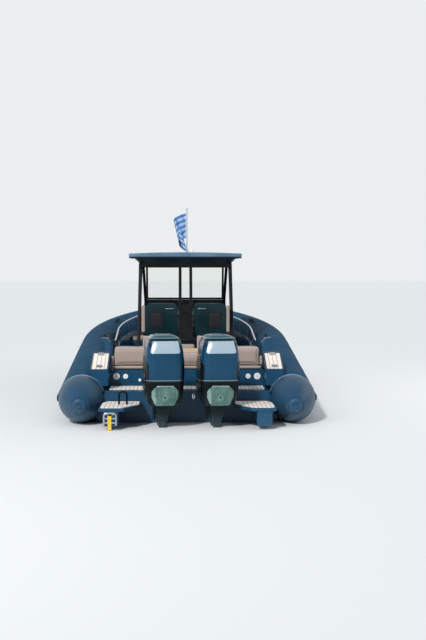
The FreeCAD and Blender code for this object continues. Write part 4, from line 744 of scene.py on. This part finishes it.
centre_back, back = cushions_of("aft_backrest", 0)
BACK_ROOM = ((0, 0), (0.008, 0.004), (0, 0.006))
stuff(back, swell=0.014, room=BACK_ROOM)
upholster(back, "aft_backrest_starboard", "aft_backrest")
stuff(centre_back, swell=0.014, room=BACK_ROOM)
upholster(centre_back, "aft_backrest_centre", "aft_backrest")
for pad, word in ((back, "starboard"), (centre_back, "centre")):
    for side, end in ((-1, "aft"), (1, "forward")):
        piping(pad, "backrest_piping_%s_%s" % (word, end), 1, side, inset=0.016)

arm, = cushions_of("aft_arm_pads", 0)
stuff(arm, voxel=0.010, swell=0.008, slack=0.004, room=((0, 0), (0, 0), (0, 0.006)))
upholster(arm, "aft_arm_pad_starboard", "aft_arm_pads", fill=0.8)

# Helm. The bench faces aft on the helm module, in the same vinyl. Two helm seats have glossy shells, near
# black, with a stitched panel let into each back, and bolsters outside. The wheel, throttle and screens
# are on the console, and a switch panel lies under the screens.
SHELL_GREEN = (4, 30, 35)
INSERT_PLACE = (0.4675, 3.407, 1.2075)
INSERT_SIZE = (0.190, 0.240)
SHADED_CONSOLE_NAVY = (5, 16, 26)
DASH_FOOT = Vector((0.0, 4.480, 0.930))
DASH_HEAD = Vector((0.0, 4.620, 1.240))
SWITCH_PANEL = (-0.310, 0.055, 0.300, 0.058)
SWITCHES = 6
HANDLE_PLACE = (0.255, 3.388, 1.385)
HANDLE_SIZE = (0.130, 0.040)
HANDLE_BORE = 0.007
SWITCH_STEP = 0.045

bench_seat, bench_middle, bench_back = cushions_of("bench_cushions", 1)
stuff(bench_seat, voxel=0.016, swell=0.014)
sew(bench_seat, 0, (-0.226, 0.226))
upholster(bench_seat, "bench_seat_cushion", "bench_cushions")
piping(bench_seat, "bench_seat_piping", 2, 1, inset=0.016)
stuff(bench_back, room=BACK_ROOM)
upholster(bench_back, "bench_backrest_starboard", "bench_cushions")
piping(bench_back, "bench_piping_starboard", 1, -1, inset=0.014)
stuff(bench_middle, voxel=0.010, swell=0.010)
upholster(bench_middle, "bench_backrest_centre", "bench_cushions")

seat_back, bolster, seat = cushions_of("seat_cushions", 0, 2, 4)
stuff(seat_back, room=((0, 0), (0, 0.012), (0, 0)))
sew(seat_back, 2, (1.19, 1.31), depth=0.005)
upholster(seat_back, "helm_seat_back_starboard", "seat_cushions")
stuff(bolster, voxel=0.010, swell=0.008, slack=0.003, room=((0, 0.004), (0, 0), (0, 0.004)))
upholster(bolster, "helm_bolster_starboard", "seat_cushions")
stuff(seat, voxel=0.012, room=((0, 0), (0, 0), (0, 0)))
upholster(seat, "helm_seat_cushion_starboard", "seat_cushions")

shell_gloss = surface("seat_shell_gloss", SHELL_GREEN, (12, 42, 48), fading=0.5, clouds=4.0, edge=0.9, rough=0.2,
                      spread=0.12, fine=60.0, bump=0.04, coat=0.15, specular=0.12)
insert_vinyl = vinyl("insert_vinyl", (22, 22, 24), (38, 38, 40))
# Painted shade: this is the navy gelcoat made near black, for the shade that the helm module, the console and the
# hardtop's underside lie in
console_gelcoat = surface("console_gelcoat", SHADED_CONSOLE_NAVY, (14, 32, 46), fading=0.35, clouds=2.0, edge=0.1,
                          rough=0.26, spread=0.06, fine=60.0, coarse=3.0, share=0.8, bump=0.03, coat=0.1,
                          specular=0.12)
display_glass = surface("display_glass", (5, 7, 10), (14, 18, 24), fading=0.4, clouds=20.0, edge=0.0, rough=0.08,
                        spread=0.04, bump=0.01, coat=0.4)
dress(shell_gloss, "seat_shells")
# The helm module and the hardtop take this painted shade
dress(console_gelcoat, "helm_module", "console", "hardtop")
dress(display_glass, "dash_displays")
dress(black_plastic, "helm_wheel", "throttle")

insert = sized((INSERT_SIZE[0], 0.010, INSERT_SIZE[1]), INSERT_PLACE, add=bpy.ops.mesh.primitive_cube_add)
shape(insert, ("inset", {"thickness": 0.016, "depth": -0.004}), ("inset", {"thickness": 0.006, "depth": 0.003}),
      ("subdivide", {"number_cuts": 5}), facing=lambda out: out.y < -0.9)
finish(insert, rounding(0.002))
fit_both(insert, "seat_insert_starboard", insert_vinyl, "seat_shell")

# A polished grab handle across the top of each shell's back
handle = outline((HANDLE_SIZE[0], HANDLE_SIZE[1], 1.0), HANDLE_PLACE, (0.0, 0.0, 0.0), HANDLE_SIZE[1] * 0.45)
rounded_bead(handle, "seat_handle_starboard", HANDLE_BORE, steel, "steel")

dash_up = (DASH_HEAD - DASH_FOOT).normalized()
dash_out = Vector((0.0, -dash_up.z, dash_up.y))
dash_turn = Matrix((Vector((1.0, 0.0, 0.0)), dash_up, dash_out)).transposed().to_euler()
panel_middle = DASH_FOOT + Vector((SWITCH_PANEL[0], 0.0, 0.0)) + dash_up * SWITCH_PANEL[1]
for number in range(-1, SWITCHES):
    if number < 0:
        size, place, out = (SWITCH_PANEL[2], SWITCH_PANEL[3], 0.006), panel_middle, 0.0
    else:
        step = (number - (SWITCHES - 1) / 2) * SWITCH_STEP
        size, place, out = (0.022, 0.036, 0.010), panel_middle + Vector((step, 0.0, 0.0)), 0.004
    bpy.ops.mesh.primitive_cube_add(size=1.0, location=place + dash_out * out, rotation=dash_turn)
    switch = bpy.context.object
    switch.scale = size
    finish(switch, ("BEVEL", {"width": 0.002, "segments": 3}))
    fit(switch, "switch_panel" if number < 0 else "rocker_switch_%d" % number,
        black_plastic if number < 0 else grey_plastic, "black_plastic")

# Console front seat, and its back on the console.
pad_back, pad_seat = cushions_of("console_pad")
stuff(pad_seat, voxel=0.014)
sew(pad_seat, 0, (0.0,))
upholster(pad_seat, "console_seat_cushion", "console_pad")
piping(pad_seat, "console_seat_piping", 2, 1, inset=0.016)
stuff(pad_back, room=((0, 0), (0, 0.010), (0, 0.004)))
upholster(pad_back, "console_seat_back", "console_pad")

# Windscreen, hardtop and its frame. A clear pane in a black rubber gasket, on black painted posts; the
# hardtop is dark underneath as painted shade, with four small lights, and its top moulding is painted a lighter
# blue as the sky's reflection, over some real sun fading.
PANE_LOW = (0.655, 5.318, 1.485)
PANE_HIGH = (0.690, 5.102, 2.075)
GASKET_WIDTH = 0.035
ROOF_LINE = 2.215
LIGHT_RADIUS = 0.045
LIGHT_HEIGHT = 2.106
LIGHT_PLACES = ((-0.45, 4.15), (0.45, 4.15), (-0.45, 4.85), (0.45, 4.85))
dark_frame = surface("dark_paint_and_hoop_reflection", (7, 9, 12), (20, 22, 26), fading=0.4, clouds=6.0, edge=0.2, rough=0.34,
                     spread=0.12, fine=500.0, bump=0.12, specular=0.1)
# The boarding hoop is polished steel; the black paint on it is its dark reflection, painted in
dress(dark_frame, "hardtop_frame", "pylon", "boarding_hoop")

screen_glass = bpy.data.materials.new("screen_glass")
screen_glass.use_nodes = True
glass_tree = screen_glass.node_tree
glass_shader = glass_tree.nodes["Principled BSDF"]
glass_shader.inputs["Base Color"].default_value = paint(246, 248, 244)
glass_shader.inputs["Transmission Weight"].default_value = 1.0
glass_shader.inputs["IOR"].default_value = 1.05
glass_film = noise(glass_tree, coordinates(glass_tree), 9.0, 6.0)
glass_tree.links.new(ramp(glass_tree, glass_film, 0.3, 0.8, 0.0, 0.08), glass_shader.inputs["Roughness"])
dress(screen_glass, "windscreen")

pane_low, pane_high = Vector(PANE_LOW), Vector(PANE_HIGH)
pane_up = Vector((0.0, pane_high.y - pane_low.y, pane_high.z - pane_low.z))
gasket = sized((pane_low.x + pane_high.x, pane_up.length, 1.0),
               (0.0, (pane_low.y + pane_high.y) / 2, (pane_low.z + pane_high.z) / 2),
               (math.atan2(pane_up.z, pane_up.y), 0.0, 0.0))
shape(gasket, ("inset", {"thickness": GASKET_WIDTH, "depth": 0.0}), ("delete", {"type": "FACE"}))
finish(gasket, ("SOLIDIFY", {"thickness": 0.020, "offset": 0.0}), rounding(0.004))
fit(gasket, "windscreen_gasket", fitting_rubber, "dark_frame")

# Painted reflection: the roof's top skin is a lighter blue for the sky's reflection, over real sun fading
roof_painted_sky = surface("roof_painted_sky", (60, 94, 124), (118, 148, 174), fading=0.6, clouds=3.0, runs=0.0, edge=0.0,
                       rough=0.2, fine=60.0, bump=0.05, coat=0.2)
roof = skin(nodes["hardtop"], (keep_above(ROOF_LINE),), 0.004, edge=0.001)
fit(roof, "hardtop_sky_reflection_skin", roof_painted_sky, "console_gelcoat")

for number, (across, forward) in enumerate(LIGHT_PLACES):
    bpy.ops.mesh.primitive_cylinder_add(vertices=32, radius=LIGHT_RADIUS, depth=0.014,
                                        location=(across, forward, LIGHT_HEIGHT))
    light = bpy.context.object
    shape(light, ("inset", {"thickness": 0.009, "depth": -0.004}), facing=lambda out: out.z < -0.9)
    finish(light, rounding(0.0015))
    fit(light, "roof_light_%d" % number, white_plastic, "white_plastic")

# Ensign. A small striped flag of thin polyester with its head lashed to the staff, hanging in pleats in
# still air. Its stripes and its weave follow the cloth.
FLAG_HOIST = 0.40
FLAG_FLY = 0.60
FLAG_TOP = (0.008, 3.82, 2.915)
FLAG_PLEATS = 2
FLAG_STRIPES = 9
FLAG_STEPS = 144
FLAG_ROWS = 24
FLAG_BLUE = (58, 112, 172)
FLAG_WHITE = (162, 190, 216)
FLAG_BEND = (1.75, -0.40)
FLAG_DRIFT = (0.7, 3.1)
FLAG_DEPTH = 0.9
# The bulge and the foot of a row's curve, from its head, and how far they shift towards the top row
FLAG_BULGE = (-0.24, 0.0, -0.08), -0.10
FLAG_FOOT = (0.035, 0.02, -0.235), -0.13

flag_cloth = surface("flag_cloth", FLAG_WHITE, (178, 202, 224), fading=0.5, clouds=12.0, edge=0.0, rough=0.75,
                     fine=900.0, bump=0.1, specular=0.2)
flag_tree = flag_cloth.node_tree
flag_height = put(flag_tree, "ShaderNodeSeparateXYZ", {0: coordinates(flag_tree, "UV")}).outputs["Y"]
stripe = calc(flag_tree, "MODULO", calc(flag_tree, "MULTIPLY", flag_height, float(FLAG_STRIPES)), 2.0)
overlay(flag_cloth, calc(flag_tree, "LESS_THAN", stripe, 1.0), FLAG_BLUE)
woven(flag_cloth, 2 * math.pi * 420, 2 * math.pi * 300, 0.0003, (120, 150, 190))

bpy.ops.mesh.primitive_grid_add(x_subdivisions=FLAG_STEPS, y_subdivisions=FLAG_ROWS, size=1.0)
flag = bpy.context.object
folds = {}
for row in range(FLAG_ROWS + 1):
    hoist = row / FLAG_ROWS
    bend = FLAG_BEND[0] + FLAG_BEND[1] * hoist
    drift = FLAG_DRIFT[0] * math.sin(FLAG_DRIFT[1] * hoist)
    gone, swing, folds[row] = 0.0, 0.0, [(0.0, 0.0)]
    for step in range(FLAG_STEPS):
        share = (step + 0.5) / FLAG_STEPS
        angle = bend * math.sin(2 * math.pi * FLAG_PLEATS * share + drift)
        gone += math.cos(angle) / FLAG_STEPS
        swing += math.sin(angle) * FLAG_FLY / FLAG_STEPS
        folds[row].append((gone, swing))
for vertex in flag.data.vertices:
    step, row = round((vertex.co.x + 0.5) * FLAG_STEPS), round((vertex.co.y + 0.5) * FLAG_ROWS)
    gone, swing = folds[row][step]
    run, hoist = gone / folds[row][-1][0], row / FLAG_ROWS
    head = Vector(FLAG_TOP) + Vector((0.0, 0.0, -FLAG_HOIST * (1.0 - hoist)))
    bulge, foot = (head + Vector(place) + Vector((shift * hoist, 0.0, 0.0)) for place, shift in (FLAG_BULGE, FLAG_FOOT))
    vertex.co = head * (1 - run) ** 2 + bulge * (2 * run * (1 - run)) + foot * run ** 2
    vertex.co.y += swing * FLAG_DEPTH
fit(flag, "ensign_cloth", flag_cloth, "flag_cloth", sharp=180.0)
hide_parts("ensign")

# Bow. Three cushions of the same vinyl round the foot well, on the bow moulding.
bow_side, bow_front = cushions_of("bow_cushions", 0)
stuff(bow_side, voxel=0.016)
sew(bow_side, 1, (7.25,), depth=0.005)
upholster(bow_side, "bow_cushion_starboard", "bow_cushions")
stuff(bow_front, voxel=0.016)
sew(bow_front, 0, (-0.26, 0.26), depth=0.005)
upholster(bow_front, "bow_cushion_front", "bow_cushions")

# Engines. Glossy navy cowls with a silver band; over it a band on the glossy cap painted dark green as the
# sea's reflection, and a bright line round the top that is a painted highlight; black covers on their sides, a
# grey-green panel low down at the back, and a dark painted leg and gearcase that carry a polished propeller.
# Both stand turned a little; the trim is made in the engine's own frame and set on each.
SWIVEL_PLACE = Vector((0.345, -0.200, 0.0))
ENGINE_TURN = math.radians(6.0)
COWL_ROWS = (
    # height, half width, rear, front
    (0.600, 0.243, -0.648, 0.112), (0.690, 0.246, -0.676, 0.128), (0.820, 0.246, -0.693, 0.136),
    (0.950, 0.240, -0.694, 0.126), (1.030, 0.229, -0.684, 0.094), (1.090, 0.213, -0.665, 0.052),
    (1.135, 0.193, -0.638, 0.000), (1.167, 0.166, -0.603, -0.062), (1.186, 0.128, -0.553, -0.140),
)
COWL_CORNER = 0.130
COWL_TAPER_FROM = -0.250
COWL_TAPER = 0.20
COWL_TOP_TAPER = 0.55
PARTING = Vector((0.0, -0.650, 0.627))
PARTING_UP = Vector((0.0, 0.028, 1.0))
COVER_EDGE = 0.205
COVER_HIGH = 0.878
COVER_FRONT = 0.020
SLOT_HALVES = (0.184, 0.200)
SLOT_HEIGHTS = (1.050, 1.100)
SLOT_FRONT = -0.45
BAND_HALF = 0.190
BAND_LOW = 0.966
BAND_HIGH = 1.116
BAND_FRONT = -0.40
BAND_NOTCH = 0.020
SEA_REFLECTION_FRONT = -0.30
TOP_HIGHLIGHT_Z = 1.150
TOP_HIGHLIGHT_HEIGHT = 0.005
COWL_FOOT = 0.6005
CREASE_PLACE = -0.066
PANEL_PART_FOOT = 0.335

cowl_navy = surface("cowl_navy", (5, 56, 82), (14, 74, 104), fading=0.35, clouds=2.5, salt=0.06, salt_height=1.2,
                    rough=0.14, spread=0.1, fine=60.0, coarse=3.0, share=0.8, bump=0.04, coat=0.15, specular=0.15)
cowl_silver = surface("cowl_silver", (176, 196, 210), (206, 220, 230), fading=0.3, clouds=2.0, edge=0.0, rough=0.2,
                      spread=0.06, fine=900.0, bump=0.02, metallic=0.85, coat=0.3)
# Painted reflection: the cap is dark and glossy, and this green is the sea's reflection in it, painted in
cowl_sea_reflection = surface("cowl_painted_sea_reflection", (4, 30, 34), (14, 48, 52), fading=0.5, clouds=3.0, rough=0.18, spread=0.1,
                     fine=60.0, bump=0.03, coat=0.08, specular=0.12)
# Painted highlight: the bright line round the top stands for the glint along the cap's rounded top edge
highlight_green = surface("highlight_green", (120, 170, 162), (150, 190, 184), fading=0.4, clouds=6.0, edge=0.0, rough=0.2,
                     bump=0.03, coat=0.2)
cowl_black = surface("cowl_black", (8, 13, 17), (22, 30, 34), fading=0.4, clouds=5.0, rough=0.24, spread=0.12,
                     bump=0.05, coat=0.15, specular=0.15)
lower_black = surface("lower_cowl_black", (5, 10, 12), (16, 26, 26), fading=0.5, clouds=5.0, salt=0.3,
                      salt_height=0.5, rough=0.3, spread=0.14, fine=200.0, bump=0.08, specular=0.12)
panel_green = surface("panel_green", (40, 80, 74), (96, 132, 124), fading=0.7, clouds=7.0, runs=0.5, edge=0.9,
                      salt=0.25, salt_height=0.6, rough=0.22, spread=0.14, fine=120.0, bump=0.06, coat=0.2)
# Painted light: a lighter copy of the panel's green, for the side of its crease that the sun falls on
panel_green_sunlit = surface("panel_green_painted_light", (84, 122, 114), (140, 168, 160), fading=0.7, clouds=7.0, runs=0.5,
                      edge=0.9, rough=0.22, spread=0.14, fine=120.0, bump=0.06, coat=0.2)
leg_paint = surface("leg_paint", (9, 26, 28), (26, 48, 50), fading=0.5, clouds=6.0, salt=0.3, salt_height=0.3,
                    rough=0.36, spread=0.16, fine=500.0, bump=0.15, specular=0.12)
for side in ("port", "starboard"):
    dress(cowl_navy, side + "_cowl")
    dress(cowl_silver, side + "_cowl_band")
    dress(cowl_sea_reflection, side + "_cowl_cap")
    dress(lower_black, side + "_lower_cowl")
    dress(panel_green, side + "_lower_panel")
    dress(leg_paint, side + "_leg", side + "_bracket", side + "_swivel")
    dress(steel, side + "_propeller")


def both_engines(piece, name, material, slot, stands_for=None, sharp=35.0):
    """Sets a piece made in the engine's own frame on each engine."""
    choose(piece)
    bpy.ops.object.transform_apply(location=True, rotation=True, scale=True)
    for side, twin in (("starboard", piece), ("port", copied(piece))):
        across = SWIVEL_PLACE.x if side == "starboard" else -SWIVEL_PLACE.x
        twin.data.transform(Matrix.Translation((across, SWIVEL_PLACE.y, 0.0)) @ Matrix.Rotation(ENGINE_TURN, 4, "Z"))
        fit(twin, side + "_" + name, material, slot, side + "_drive_unit", sharp)
        if stands_for:
            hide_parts(side + "_" + stands_for)


# The cowl: a rounded plate drawn up through its rows, smoothed, and narrowed towards its front
height, half, rear, front = COWL_ROWS[0]
cowl = sized((2 * half, front - rear, 1.0), (0.0, (rear + front) / 2, height))
bpy.ops.object.transform_apply(location=True, rotation=False, scale=False)
bpy.ops.object.mode_set(mode="EDIT")
bpy.ops.mesh.select_all(action="SELECT")
bpy.ops.mesh.bevel(offset=COWL_CORNER, segments=6, affect="VERTICES")
bpy.ops.mesh.select_all(action="SELECT")
bpy.ops.transform.edge_crease(value=1.0)
for below, row in zip(COWL_ROWS, COWL_ROWS[1:]):
    middle, last = (row[2] + row[3]) / 2, (below[2] + below[3]) / 2
    bpy.ops.mesh.extrude_region_move(TRANSFORM_OT_translate={"value": (0.0, middle - last, row[0] - below[0])})
    bpy.ops.transform.edge_crease(value=-1.0)
    bpy.ops.transform.resize(value=(row[1] / below[1], (row[3] - row[2]) / (below[3] - below[2]), 1.0),
                             center_override=(0.0, middle, row[0]))
bpy.ops.mesh.inset(thickness=0.040, depth=0.004)
bpy.ops.mesh.inset(thickness=0.040, depth=0.001)
bpy.ops.mesh.select_all(action="SELECT")
bpy.ops.mesh.normals_make_consistent(inside=False)
bpy.ops.object.mode_set(mode="OBJECT")
finish(cowl, ("SUBSURF", {"levels": 2, "render_levels": 2}))
for vertex in cowl.data.vertices:
    if vertex.co.y > COWL_TAPER_FROM:
        share = (vertex.co.y - COWL_TAPER_FROM) / (COWL_ROWS[2][3] - COWL_TAPER_FROM)
        taper = COWL_TAPER + COWL_TOP_TAPER * max(0.0, vertex.co.z - COWL_ROWS[2][0])
        vertex.co.x *= 1.0 - taper * share ** 2

sides = tuple(((hand * BAND_HALF, 0.0, BAND_LOW + rise), (hand, 0.0, slope))
              for rise, slope in ((0.0, 0.25), (BAND_NOTCH, -1.0)) for hand in (1.0, -1.0))
band = skin(cowl, (keep_above(BAND_LOW), keep_below(BAND_HIGH)) + sides + (keep_aft(BAND_FRONT),), 0.0045, edge=0.0012)
sea_reflection_band = skin(cowl, (keep_above(BAND_HIGH), keep_below(TOP_HIGHLIGHT_Z), keep_aft(SEA_REFLECTION_FRONT)), 0.003, edge=0.001)
# The painted highlight round the top, a thin bright skin
top_highlight = skin(cowl, (keep_above(TOP_HIGHLIGHT_Z), keep_below(TOP_HIGHLIGHT_Z + TOP_HIGHLIGHT_HEIGHT)), 0.0035)
below_line = PARTING - PARTING_UP * 0.002
above_line = PARTING + PARTING_UP * 0.003
skirt = skin(cowl, ((below_line, PARTING_UP), keep_above(COWL_FOOT)), 0.0035)
parting = skin(cowl, ((below_line, -PARTING_UP), (above_line, PARTING_UP)), 0.005, edge=0.0012)
for hand, word in ((-1.0, "left"), (1.0, "right")):
    cover = skin(cowl, (
        ((hand * COVER_EDGE, 0.0, 0.0), (-hand, 0.0, 0.0)), (above_line, -PARTING_UP),
        ((0.0, 0.0, COVER_HIGH), (0.0, 0.10, 1.0)), ((0.0, COVER_FRONT, 0.75), (0.0, 1.0, 0.1)),
        ((0.0, -0.610, COVER_HIGH - 0.03), (0.0, -0.7, 1.0)),
    ), 0.005, edge=0.0015)
    both_engines(cover, "side_cover_" + word, cowl_black, "engine_black")
    slot = skin(cowl, (
        ((hand * SLOT_HALVES[0], 0.0, 0.0), (-hand, 0.0, 0.0)), ((hand * SLOT_HALVES[1], 0.0, 0.0), (hand, 0.0, 0.0)),
        keep_above(SLOT_HEIGHTS[0]), keep_below(SLOT_HEIGHTS[1]), keep_aft(SLOT_FRONT),
    ), 0.006, edge=0.001)
    both_engines(slot, "intake_slot_" + word, cowl_black, "engine_black")
both_engines(band, "silver_band", cowl_silver, "engine_silver", "cowl_band")
both_engines(sea_reflection_band, "sea_reflection_band", cowl_sea_reflection, "engine_black", "cowl_cap")
both_engines(top_highlight, "top_highlight", highlight_green, "engine_silver")
both_engines(skirt, "skirt", cowl_black, "engine_black")
both_engines(parting, "parting_line", cowl_silver, "engine_silver")
both_engines(cowl, "cowl_shell", cowl_navy, "engine_navy", "cowl")

# The green panel's left part stands a little proud of the rest and is painted lighter as painted sunlight, and a
# bright lip runs along its top as a painted highlight
to_engine = (Matrix.Translation(SWIVEL_PLACE) @ Matrix.Rotation(ENGINE_TURN, 4, "Z")).inverted()
whole_panel = copied(nodes["starboard_lower_panel"], to_engine)
sunlit_panel_part = skin(whole_panel, (((CREASE_PLACE, 0.0, 0.0), (1.0, 0.0, 0.12)), keep_above(PANEL_PART_FOOT)), 0.003,
                  edge=0.001)
bpy.data.objects.remove(whole_panel)
both_engines(sunlit_panel_part, "sunlit_panel_part", panel_green_sunlit, "engine_green")
# Painted highlight: a thin silver bead along the panel's top edge stands for the glint on that edge
bpy.ops.mesh.primitive_cylinder_add(vertices=20, radius=0.0045, depth=0.208, location=(0.0, -0.6365, 0.557),
                                    rotation=(0.0, math.pi / 2, 0.0))
lip = bpy.context.object
finish(lip, rounding(0.002))
both_engines(lip, "panel_top_highlight", cowl_silver, "engine_silver")
